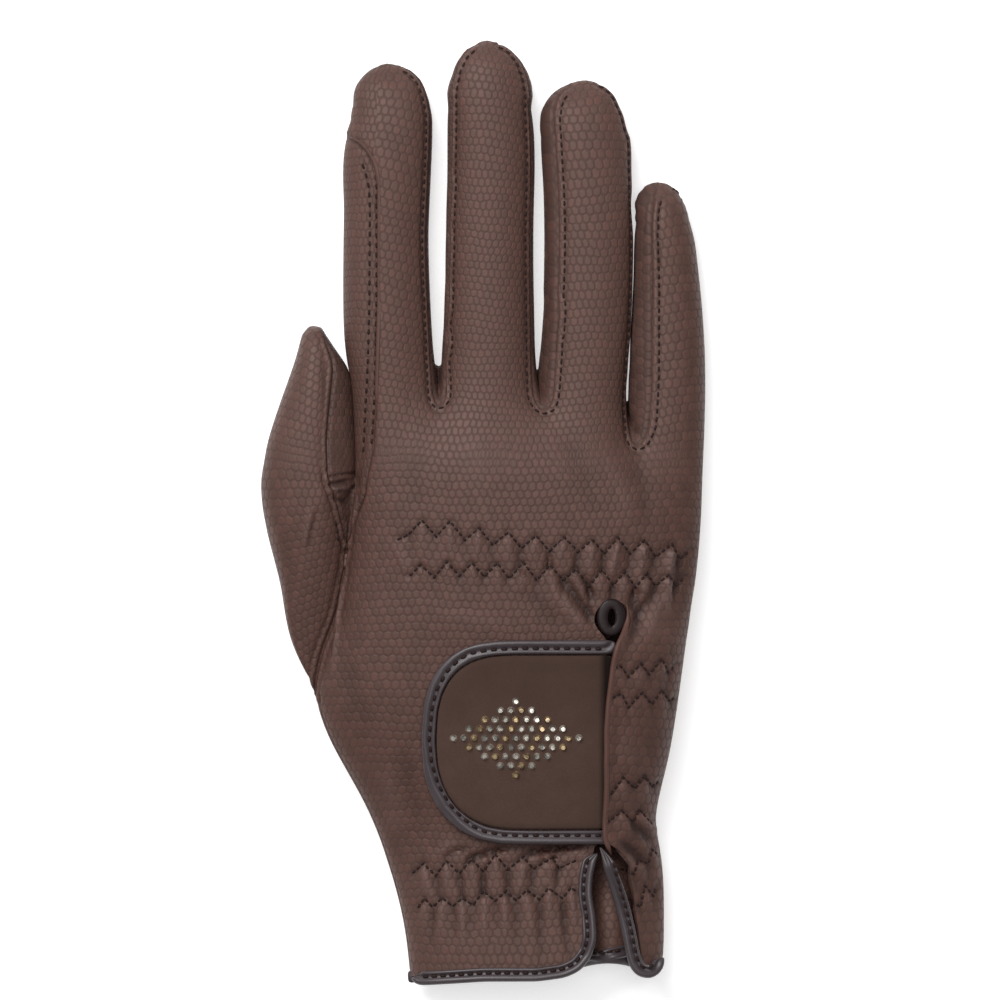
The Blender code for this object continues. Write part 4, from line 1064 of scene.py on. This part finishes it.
# The section follows the line in the picture, on the surface that lies just inside of it
def sweepStrip(name, line, section, tree, widen=1.0, lift=0.0, searches=(3, 6, 9, 13, 17, 22), taper=(0, 0),
               cover=(), flat=0.0):
    steps = stripSteps(smoothLine(line, 3.0), tree, searches, cover)
    for step in steps:
        slope = step[2].copy()
        slope.z = max(slope.z, 0.35)
        drop = (slope.x * step[1].x + slope.y * step[1].y) / slope.z * step[3] * photo["pixel"]
        step[0].z += max(-1.5 * mm, min(1.5 * mm, drop))
        step[2] = (step[2] * (1 - flat) + Vector((0, 0, flat))).normalized()
    if cover:
        heights = [step[0].z for step in steps]
        for n, step in enumerate(steps):
            step[0].z = max(heights[max(0, n - 2):n + 3])
    for turn in range(6):
        heights = [step[0].z for step in steps]
        slopes = [step[2] for step in steps]
        for n in range(1, len(steps) - 1):
            steps[n][0].z = (heights[n - 1] + 2 * heights[n] + heights[n + 1]) / 4
            steps[n][2] = (slopes[n - 1] + slopes[n] * 2 + slopes[n + 1]).normalized()
    verts = []
    for n, (base, inward, normal, search) in enumerate(steps):
        across = (inward - normal * inward.dot(normal)).normalized()
        size = min(1.0, (n + 0.6) / max(0.1, taper[0]), (len(steps) - n - 0.4) / max(0.1, taper[1]))
        for acrossMm, up in section:
            verts.append(base + (across * acrossMm * widen + normal * (up + lift)) * size * mm)
    corners = len(section)
    faces = [tuple(range(corners)), tuple(len(verts) - 1 - n for n in range(corners))]
    for n in range(len(steps) - 1):
        for k in range(corners):
            a, b = n * corners + k, n * corners + (k + 1) % corners
            faces.append((a, b, b + corners, a + corners))
    piece = newPiece(name, closedMesh(name, verts, faces))
    roundOff(piece, 1)
    piece.data.shade_smooth()
    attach(piece, "root")
    print("   ", name, len(steps), "steps")
    return piece


lobeLine = [(599, 846), (602, 858), (605.4, 872), (611, 891), (617, 911), (622, 932), (626, 954),
            (630, 967), (637, 975), (648, 978), (657, 974.5), (662, 969), (664, 962), (664, 957)]
hemLine = [(411, 978), (414, 983), (420, 984.7), (448, 982.5), (484, 979.8), (538, 979.5), (564, 976),
           (576, 971), (583, 966), (591, 955), (596, 940), (596, 928), (595, 915), (591.5, 893),
           (592.5, 875), (598, 853)]
foldLine = [(626, 600), (627, 616), (622, 630), (616, 644), (611, 662), (606, 703), (604, 731), (605, 792),
            (603, 822), (603, 840), (611, 855)]
topTree = treeOf([cuffBinding.data] + [panelPieces[node].data for node in panels])
leftHem = sweepStrip("left_hem_binding", hemLine, strips["binding"], topTree, taper=(2, 4),
                     cover=(2, 4, 6, 8, 10, 12, 14), flat=0.75)
lobeHem = sweepStrip("lobe_hem_binding", lobeLine, strips["binding"], topTree, taper=(7, 2),
                     cover=(3, 6, 9, 12), flat=0.5)
palmHem = sweepStrip("palm_hem_binding", [(586, 962), (606, 961), (628, 957)], strips["binding"],
                     treeOf([panelPieces["palm_panel"].data]), widen=0.9, searches=(5, 8, 11, 15))
lapEdge = sweepStrip("forefinger_lap_edge", lap["arc"][1:] + lap["side"][1:-3], strips["edge"], surfaceTree,
                     lift=-0.05, searches=(0, 2), taper=(3, 12))
foldEdge = sweepStrip("vent_folded_edge", foldLine, strips["fold"], surfaceTree, widen=0.8,
                      searches=(4, 7, 10, 14), taper=(9, 5))


# Above the palm the swept strips stand for this binding, so only its lower part stays
def keepLowPart(bm):
    high = [vert for vert in bm.verts if vert.co.z > 8.8 * mm and vert.co.x < 44 * mm]
    bmesh.ops.delete(bm, geom=high, context="VERTS")
    bmesh.ops.holes_fill(bm, edges=[edge for edge in bm.edges if edge.is_boundary], sides=0)
    faceOutwards(bm)


editMesh(cuffBinding.data, keepLowPart)
for vert in cuffBinding.data.vertices:
    rise = float(bulgeAt(*pixelOf(vert.co)))
    vert.co.z += bulge["height"] * mm * rise
    vert.co.y += 1.2 * bulge["drawnUp"] * mm * rise ** 0.6


# The line moved inward by some pixels, at even steps
def inset(line, distance):
    points = np.array(line, float)
    ways = np.gradient(points, axis=0)
    ways /= np.hypot(*ways.T)[:, None]
    return [tuple(point) for point in points + np.stack([ways[:, 1], -ways[:, 0]], axis=1) * distance]


hemTree = treeOf([leftHem.data, lobeHem.data])
bindingStitches = rowPlaces(inset(tabLine, 8.4), treeOf([tabBinding.data]), 2.6, -0.10)
bindingStitches += rowPlaces(inset(smoothLine(hemLine, 4), 8.6)[3:], hemTree, 2.3, -0.10)
bindingStitches += rowPlaces(inset(smoothLine(lobeLine, 4), 10)[4:], hemTree, 2.3, -0.10)
bindingStitches += rowPlaces([(592, 954), (606, 952), (624, 949.5)], treeOf([palmHem.data]), 2.1, -0.10)
sewStitches("binding_stitches", bindingStitches, 1.6, 0.44)


# Crystals: small faceted stones in a plain staggered lozenge on the tab, some clear and some gold
stones = {"radius": 1.05, "height": 0.75, "pitch": 10.4, "rowStep": 9.2, "middle": (516, 737), "sides": 8,
          "top": 0.52, "foot": 0.9, "footDepth": 0.25, "lift": 0.32,
          "rows": ((-4, 1), (-3, 4), (-2, 7), (-1, 10), (0, 13), (1, 10), (2, 7), (3, 4), (4, 1))}
tabTree = treeOf([tabPlate.data])


# Slanted facets up to a small flat top, and a narrower foot under the girdle
def cutStone(bm):
    for vert in bm.verts:
        if vert.co.z > 0:
            vert.co.xy *= stones["top"]
    under = [face for face in bm.faces if face.normal.z < -0.5]
    for item in bmesh.ops.extrude_face_region(bm, geom=under)["geom"]:
        if isinstance(item, bmesh.types.BMVert):
            item.co.z -= stones["footDepth"] * mm
            item.co.xy *= stones["foot"]
    bmesh.ops.delete(bm, geom=under, context="FACES")


deselect()
bpy.ops.mesh.primitive_cylinder_add(vertices=stones["sides"], radius=stones["radius"] * mm,
                                    depth=stones["height"] * mm, location=(0, 0, 0))
pattern = bpy.context.object
editMesh(pattern.data, cutStone)
shape = [vert.co.copy() for vert in pattern.data.vertices]
shapeFaces = [tuple(face.vertices) for face in pattern.data.polygons]
bpy.data.objects.remove(pattern)
stoneParts = {"clear": ([], []), "gold": ([], [])}
number = 0
for line, amount in stones["rows"]:
    for n in range(amount):
        px = stones["middle"][0] + (n - (amount - 1) / 2) * stones["pitch"]
        py = stones["middle"][1] + line * stones["rowStep"]
        hit, normal = hitsUnder([tabTree], px, py)[0]
        verts, faces = stoneParts["gold" if (number * 7 + line) % 3 == 0 else "clear"]
        turn = Matrix.Rotation(number * 1.3, 3, "Z")
        tilt = normal.to_track_quat("Z", "Y").to_matrix()
        faces += [tuple(len(verts) + corner for corner in face) for face in shapeFaces]
        verts += [hit + normal * stones["lift"] * mm + tilt @ (turn @ corner) for corner in shape]
        number += 1
stonePieces = {}
for colour, (verts, faces) in stoneParts.items():
    mesh = bpy.data.meshes.new("stones_" + colour)
    mesh.from_pydata(verts, [], faces)
    stonePieces[colour] = newPiece("stones_" + colour, mesh)
    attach(stonePieces[colour], "root")
print("stones", number)


# Materials: each starts from its shader and a place on the piece
def setInputs(node, values):
    for name, value in values.items():
        node.inputs[name].default_value = value


def newMaterial(name, values):
    material = bpy.data.materials.new(name)
    material.use_nodes = True
    tree = material.node_tree
    shader = tree.nodes["Principled BSDF"]
    setInputs(shader, values)
    return material, tree, shader, tree.nodes.new("ShaderNodeTexCoord").outputs["Object"]


def calculate(tree, kind, first, second=None):
    node = tree.nodes.new("ShaderNodeMath")
    node.operation = kind
    for socket, value in zip(node.inputs, (first, second)):
        if isinstance(value, (int, float)):
            socket.default_value = value
        elif value is not None:
            tree.links.new(value, socket)
    return node.outputs[0]


# Math nodes of one tree by plain names
def sums(tree):
    def kindOf(kind):
        return lambda first, second: calculate(tree, kind, first, second)
    return [kindOf(kind) for kind in ("ADD", "SUBTRACT", "MULTIPLY", "DIVIDE", "MINIMUM", "MAXIMUM")]


def noiseOf(tree, vector, scale, detail=2.0, roughness=0.5):
    node = tree.nodes.new("ShaderNodeTexNoise")
    setInputs(node, {"Scale": scale, "Detail": detail, "Roughness": roughness})
    tree.links.new(vector, node.inputs["Vector"])
    return node.outputs


# How far a value lies from one bound to another, as 0 to 1
def between(tree, value, low, high):
    share = tree.nodes.new("ShaderNodeMapRange")
    setInputs(share, {"From Min": low, "From Max": high})
    tree.links.new(value, share.inputs["Value"])
    return share.outputs[0]


def spread(tree, spot, axis, low, high):
    split = tree.nodes.new("ShaderNodeSeparateXYZ")
    tree.links.new(spot, split.inputs[0])
    return between(tree, split.outputs[axis], low, high)


def mixColours(tree, share, first, second, kind="MIX"):
    node = tree.nodes.new("ShaderNodeMix")
    node.data_type = "RGBA"
    node.blend_type = kind
    for socket, value in ((node.inputs[0], share), (node.inputs[6], first), (node.inputs[7], second)):
        if isinstance(value, (tuple, int, float)):
            socket.default_value = value
        else:
            tree.links.new(value, socket)
    return node.outputs[2]


def addBump(tree, shader, height, strength, depth):
    bump = tree.nodes.new("ShaderNodeBump")
    setInputs(bump, {"Strength": strength, "Distance": depth * mm})
    tree.links.new(height, bump.inputs["Height"])
    tree.links.new(bump.outputs[0], shader.inputs["Normal"])


# Rows of oval scales, each row shifted by half a scale: the height, the grooves and each scale's tone
def scaleGrainGroup():
    group = bpy.data.node_groups.new("scaleGrain", "ShaderNodeTree")
    group.interface.new_socket(name="Vector", in_out="INPUT", socket_type="NodeSocketVector")
    for name in ("Scale Width", "Row Height", "Wander"):
        group.interface.new_socket(name=name, in_out="INPUT", socket_type="NodeSocketFloat")
    for name in ("Height", "Groove", "Tone"):
        group.interface.new_socket(name=name, in_out="OUTPUT", socket_type="NodeSocketFloat")
    add, subtract, multiply, divide, least, most = sums(group)
    entry = group.nodes.new("NodeGroupInput").outputs
    leave = group.nodes.new("NodeGroupOutput").inputs
    parts = group.nodes.new("ShaderNodeSeparateXYZ")
    group.links.new(entry["Vector"], parts.inputs[0])

    # The rows wander a little, broadly and finely
    broad = noiseOf(group, entry["Vector"], 60, 1.0)
    fine = noiseOf(group, entry["Vector"], 420, 1.0)
    shifts = []
    for axis in ("Red", "Green"):
        pieces = []
        for source, amount in ((broad, 2.6), (fine, 0.85)):
            split = group.nodes.new("ShaderNodeSeparateColor")
            group.links.new(source["Color"], split.inputs[0])
            pieces.append(multiply(subtract(split.outputs[axis], 0.5), amount))
        shifts.append(multiply(add(*pieces), entry["Wander"]))
    across = add(divide(parts.outputs[0], entry["Scale Width"]), shifts[0])
    doubleRow = multiply(entry["Row Height"], 2.0)
    upRow = add(divide(parts.outputs[1], doubleRow), multiply(shifts[1], 0.5))

    # Two lattices of scale middles, one shifted by half a scale both ways: the nearer middle owns a point
    stretch = multiply(divide(doubleRow, entry["Scale Width"]), 0.86)
    distances = []
    edges = []
    randoms = []
    for offset in (0.0, 0.5):
        sideways = subtract(calculate(group, "FRACT", add(across, offset)), 0.5)
        upwards = multiply(subtract(calculate(group, "FRACT", add(upRow, offset)), 0.5), stretch)
        squares = add(multiply(sideways, sideways), multiply(upwards, upwards))
        distances.append(calculate(group, "SQRT", squares))
        edges.append(subtract(1.0, multiply(calculate(group, "ABSOLUTE", sideways), 2.0)))
        cell = group.nodes.new("ShaderNodeCombineXYZ")
        group.links.new(calculate(group, "FLOOR", add(across, offset)), cell.inputs[0])
        group.links.new(calculate(group, "FLOOR", add(upRow, offset)), cell.inputs[1])
        cell.inputs[2].default_value = offset
        random = group.nodes.new("ShaderNodeTexWhiteNoise")
        group.links.new(cell.outputs[0], random.inputs["Vector"])
        randoms.append(random.outputs["Value"])
    nearer = least(*distances)
    firstIsNearer = calculate(group, "LESS_THAN", *distances)

    def ofNearer(values):
        return add(multiply(values[0], firstIsNearer), multiply(values[1], subtract(1.0, firstIsNearer)))

    edge = least(subtract(most(*distances), nearer), ofNearer(edges))
    ramp = group.nodes.new("ShaderNodeMapRange")
    ramp.interpolation_type = "SMOOTHERSTEP"
    ramp.inputs["From Max"].default_value = 0.46
    group.links.new(edge, ramp.inputs["Value"])
    dome = subtract(1.0, multiply(nearer, nearer))
    group.links.new(add(multiply(ramp.outputs[0], 0.72), multiply(dome, 0.28)), leave["Height"])
    group.links.new(subtract(1.0, ramp.outputs[0]), leave["Groove"])
    group.links.new(ofNearer(randoms), leave["Tone"])
    return group


scaleGrain = scaleGrainGroup()
fingerBlend = 0.012
cuffFrom, cuffTo = -0.080, -0.092


def leatherMaterial(name, style):
    material, tree, shader, spot = newMaterial(name, {
        "Specular IOR Level": style["specular"], "Specular Tint": (1.0, 0.86, 0.82, 1)})
    add, subtract, multiply, divide, least, most = sums(tree)
    layer = tree.nodes.new("ShaderNodeUVMap")
    layer.uv_map = "leatherUV"
    grains = []
    for width, row in (style["hand"], style["finger"]):
        grain = tree.nodes.new("ShaderNodeGroup")
        grain.node_tree = scaleGrain
        setInputs(grain, {"Scale Width": width * mm, "Row Height": row * mm, "Wander": style["wander"]})
        tree.links.new(layer.outputs[0], grain.inputs["Vector"])
        grains.append(grain)
    fingersFrom = style["fingersFrom"] * mm
    onFingers = spread(tree, spot, "Y", fingersFrom, fingersFrom + fingerBlend)
    values = {}
    for output in ("Height", "Groove", "Tone"):
        blend = tree.nodes.new("ShaderNodeMix")
        tree.links.new(onFingers, blend.inputs[0])
        for grain, socket in zip(grains, blend.inputs[2:4]):
            tree.links.new(grain.outputs[output], socket)
        values[output] = blend.outputs[0]
    patches = noiseOf(tree, spot, 38, 3.0)[0]
    mottle = noiseOf(tree, spot, 900, 2.0)[0]

    # The ground colour is darker and warmer on the hand than on fingers and cuff, a painted shade for the
    # sheen that falls less on the hand, and darker at the glove's right side, a painted shade for the side
    # turned from the light
    plain = mixColours(tree, patches, style["dark"], style["light"])
    handShaded = mixColours(tree, 1.0, plain, style["handShadeTint"], "MULTIPLY")
    ground = mixColours(tree, most(onFingers, spread(tree, spot, "Y", cuffFrom, cuffTo)), handShaded, plain)
    # Painted shade: the glove's right side is darkened as if turned from the light
    rightShade = spread(tree, spot, "X", at(655, 0)[0], at(705, 0)[0])
    ground = mixColours(tree, rightShade, ground, style["rightShadeTint"], "MULTIPLY")
    reddish = add(multiply(mottle, 0.25), multiply(values["Tone"], 0.45))
    cell = mixColours(tree, reddish, ground, style["red"])
    grooved = mixColours(tree, multiply(values["Groove"], style["grooveTint"]), cell, style["groove"])

    # Painted shade darkens hollows and painted highlight lightens crests, read from the skin's
    # shade-and-highlight attribute
    paintedShadeAndHighlight = tree.nodes.new("ShaderNodeAttribute")
    paintedShadeAndHighlight.attribute_name = "paintedShadeAndHighlight"
    hollowShade = most(multiply(paintedShadeAndHighlight.outputs["Fac"], -1.25), 0.0)
    crestHighlight = most(multiply(paintedShadeAndHighlight.outputs["Fac"], 0.55), 0.0)
    creaseShaded = mixColours(tree, least(hollowShade, 0.85), grooved, style["creaseShade"])
    tree.links.new(mixColours(tree, least(crestHighlight, 0.4), creaseShaded, style["crestHighlight"]), shader.inputs["Base Color"])
    dull = add(style["roughness"] - 0.05, multiply(values["Groove"], 0.16))
    tree.links.new(add(dull, multiply(patches, 0.08)), shader.inputs["Roughness"])
    addBump(tree, shader, add(values["Height"], multiply(mottle, 0.18)), style["bump"], style["depth"])
    return material


# In these styles the crease colour is painted shade for hollows and the crest colour is painted highlight for
# crests
grainLeather = {"hand": (2.0, 2.05), "finger": (1.85, 2.1), "fingersFrom": 8, "wander": 0.5,
                "roughness": 0.52, "specular": 0.38, "bump": 0.75, "depth": 0.14, "grooveTint": 0.36,
                "dark": (0.070, 0.035, 0.027, 1), "light": (0.088, 0.047, 0.038, 1),
                "red": (0.118, 0.054, 0.042, 1), "groove": (0.040, 0.026, 0.025, 1),
                "creaseShade": (0.022, 0.010, 0.008, 1), "crestHighlight": (0.165, 0.105, 0.095, 1),
                # The two tints here are painted shade: one darkens the hand, the other the glove's right side
                "handShadeTint": (0.86, 0.80, 0.78, 1), "rightShadeTint": (0.78, 0.70, 0.64, 1)}
palmLeather = dict(grainLeather, hand=(2.0, 2.0), finger=(1.8, 2.0), dark=(0.068, 0.034, 0.026, 1),
                   light=(0.085, 0.045, 0.036, 1), roughness=0.55)
sideLeather = dict(grainLeather, hand=(2.0, 2.0), finger=(1.7, 1.9), dark=(0.047, 0.024, 0.019, 1),
                   light=(0.059, 0.032, 0.026, 1), roughness=0.56, depth=0.12)
grained = leatherMaterial("grainLeather", grainLeather)
palmGrained = leatherMaterial("palmLeather", palmLeather)
sideGrained = leatherMaterial("sideLeather", sideLeather)
for piece, material in ((lapEdge, sideGrained), (foldEdge, palmGrained)):
    piece.data.materials.append(material)
panelLeather = {"back_panel": grained, "palm_panel": palmGrained, "thumb_outer": grained}
for node in panels:
    panelPieces[node].data.materials.append(panelLeather.get(node, sideGrained))


# Smooth strip leather, its tone varying in broad patches
def trimMaterial(name, dark, light, roughness, coat, specular=0.5):
    material, tree, shader, spot = newMaterial(name, {
        "Roughness": roughness, "Specular IOR Level": specular, "Coat Weight": coat, "Coat Roughness": 0.3})
    broad = noiseOf(tree, spot, 120, 2.0)[0]
    tree.links.new(mixColours(tree, broad, dark, light), shader.inputs["Base Color"])
    addBump(tree, shader, noiseOf(tree, spot, 1500, 3.0, 0.6)[0], 0.35, 0.06)
    return material


# Napped leather, darker towards the top, with a painted shadow along its right edge where the panel beside it
# lies over it
def suedeMaterial():
    material, tree, shader, spot = newMaterial("tabSuede", {
        "Roughness": 0.92, "Specular IOR Level": 0.15, "Sheen Weight": 0.25, "Sheen Roughness": 0.5,
        "Sheen Tint": (0.5, 0.36, 0.3, 1)})
    add, subtract, multiply, divide, least, most = sums(tree)
    nap = noiseOf(tree, spot, 2200, 4.0, 0.7)[0]
    cloud = noiseOf(tree, spot, 160, 3.0, 0.6)[0]
    napped = mixColours(tree, add(multiply(nap, 0.55), multiply(cloud, 0.45)), (0.044, 0.024, 0.018, 1),
                        (0.100, 0.059, 0.047, 1))
    upwards = spread(tree, spot, "Y", at(0, 740)[1], at(0, 660)[1])
    shaded = mixColours(tree, multiply(upwards, 0.4), napped, (0.034, 0.019, 0.014, 1))
    # Painted shadow: a near-black band along the right edge, under the panel's folded edge
    sideways = spread(tree, spot, "X", at(598, 0)[0], at(605, 0)[0])
    tree.links.new(mixColours(tree, sideways, shaded, (0.008, 0.004, 0.003, 1)), shader.inputs["Base Color"])
    addBump(tree, shader, nap, 0.6, 0.09)
    return material


def threadMaterial(name, colour):
    material, tree, shader, spot = newMaterial(name, {"Roughness": 0.6, "Specular IOR Level": 0.15})
    twist = noiseOf(tree, spot, 2600, 2.0)[0]
    lighter = tuple(min(1, part * 1.7) for part in colour[:3]) + (1,)
    tree.links.new(mixColours(tree, twist, colour, lighter), shader.inputs["Base Color"])
    addBump(tree, shader, twist, 0.5, 0.05)
    return material


def stoneMaterial(name, colour, roughness):
    material, tree, shader, spot = newMaterial(name, {
        "Roughness": roughness, "Metallic": 0.75, "Coat Weight": 1.0, "Coat Roughness": 0.03})
    darker = tuple(part * 0.35 for part in colour[:3]) + (1,)
    foil = between(tree, noiseOf(tree, spot, 700, 1.0)[0], 0.42, 0.58)
    tree.links.new(mixColours(tree, foil, darker, colour), shader.inputs["Base Color"])
    return material


trim = trimMaterial("bindingLeather", (0.038, 0.025, 0.027, 1), (0.066, 0.051, 0.057, 1), 0.42, 0.16)
darkTrim = trimMaterial("eyeletLeather", (0.010, 0.005, 0.005, 1), (0.020, 0.011, 0.012, 1), 0.34, 0.0, 0.22)
for piece in (cuffBinding, tabBinding, leftHem, lobeHem, palmHem, eyelet):
    piece.data.materials.append(darkTrim if piece == eyelet else trim)
tabPlate.data.materials.append(suedeMaterial())
threads = threadMaterial("darkThread", (0.017, 0.009, 0.008, 1))
for name in ("row_stitches", "finger_stitches", "lap_stitches", "binding_stitches"):
    bpy.data.objects[name].data.materials.append(threads)
stonePieces["clear"].data.materials.append(stoneMaterial("clearStone", (0.72, 0.68, 0.60, 1), 0.12))
stonePieces["gold"].data.materials.append(stoneMaterial("goldStone", (0.62, 0.46, 0.26, 1), 0.15))
bpy.data.objects.remove(glove)
print("materials done")

# Floor, light and camera
studio = {"cameraHeight": 1.6, "gloveMiddle": 0.012, "view": 0.25, "sensor": 36.0, "floor": -0.0005,
          "world": 0.26}

deselect()
bpy.ops.mesh.primitive_plane_add(size=4, location=(0, 0, studio["floor"]))
floor = bpy.context.object
floor.name = "floor"
paper = bpy.data.materials.new("floorPaper")
paper.use_nodes = True
setInputs(paper.node_tree.nodes["Principled BSDF"], {
    "Base Color": (0.85, 0.85, 0.85, 1), "Specular IOR Level": 0.1, "Emission Color": (1, 1, 1, 1),
    "Emission Strength": 0.5})
floor.data.materials.append(paper)

world = bpy.data.worlds.new("studio")
bpy.context.scene.world = world
world.use_nodes = True
setInputs(world.node_tree.nodes["Background"], {"Color": (1, 1, 1, 1), "Strength": studio["world"]})

bpy.ops.object.camera_add(location=(*at(500, 500), studio["cameraHeight"]), rotation=(0, 0, 0))
camera = bpy.context.object
camera.data.sensor_width = studio["sensor"]
camera.data.lens = studio["sensor"] * (studio["cameraHeight"] - studio["gloveMiddle"]) / studio["view"]
camera.data.clip_end = 10
bpy.context.scene.camera = camera
# A broad soft box high at the upper left, and a weaker one straight above
for spot, size, energy in (((-0.42, 0.72, 1.0), 0.7, 14.0), ((0.05, 0.1, 1.5), 0.8, 6.0)):
    bpy.ops.object.light_add(type="AREA", location=spot)
    lamp = bpy.context.object
    lamp.rotation_euler = (-Vector(spot)).to_track_quat("-Z", "Y").to_euler()
    lamp.data.size = size
    lamp.data.energy = energy
bpy.context.scene.view_settings.view_transform = "Standard"
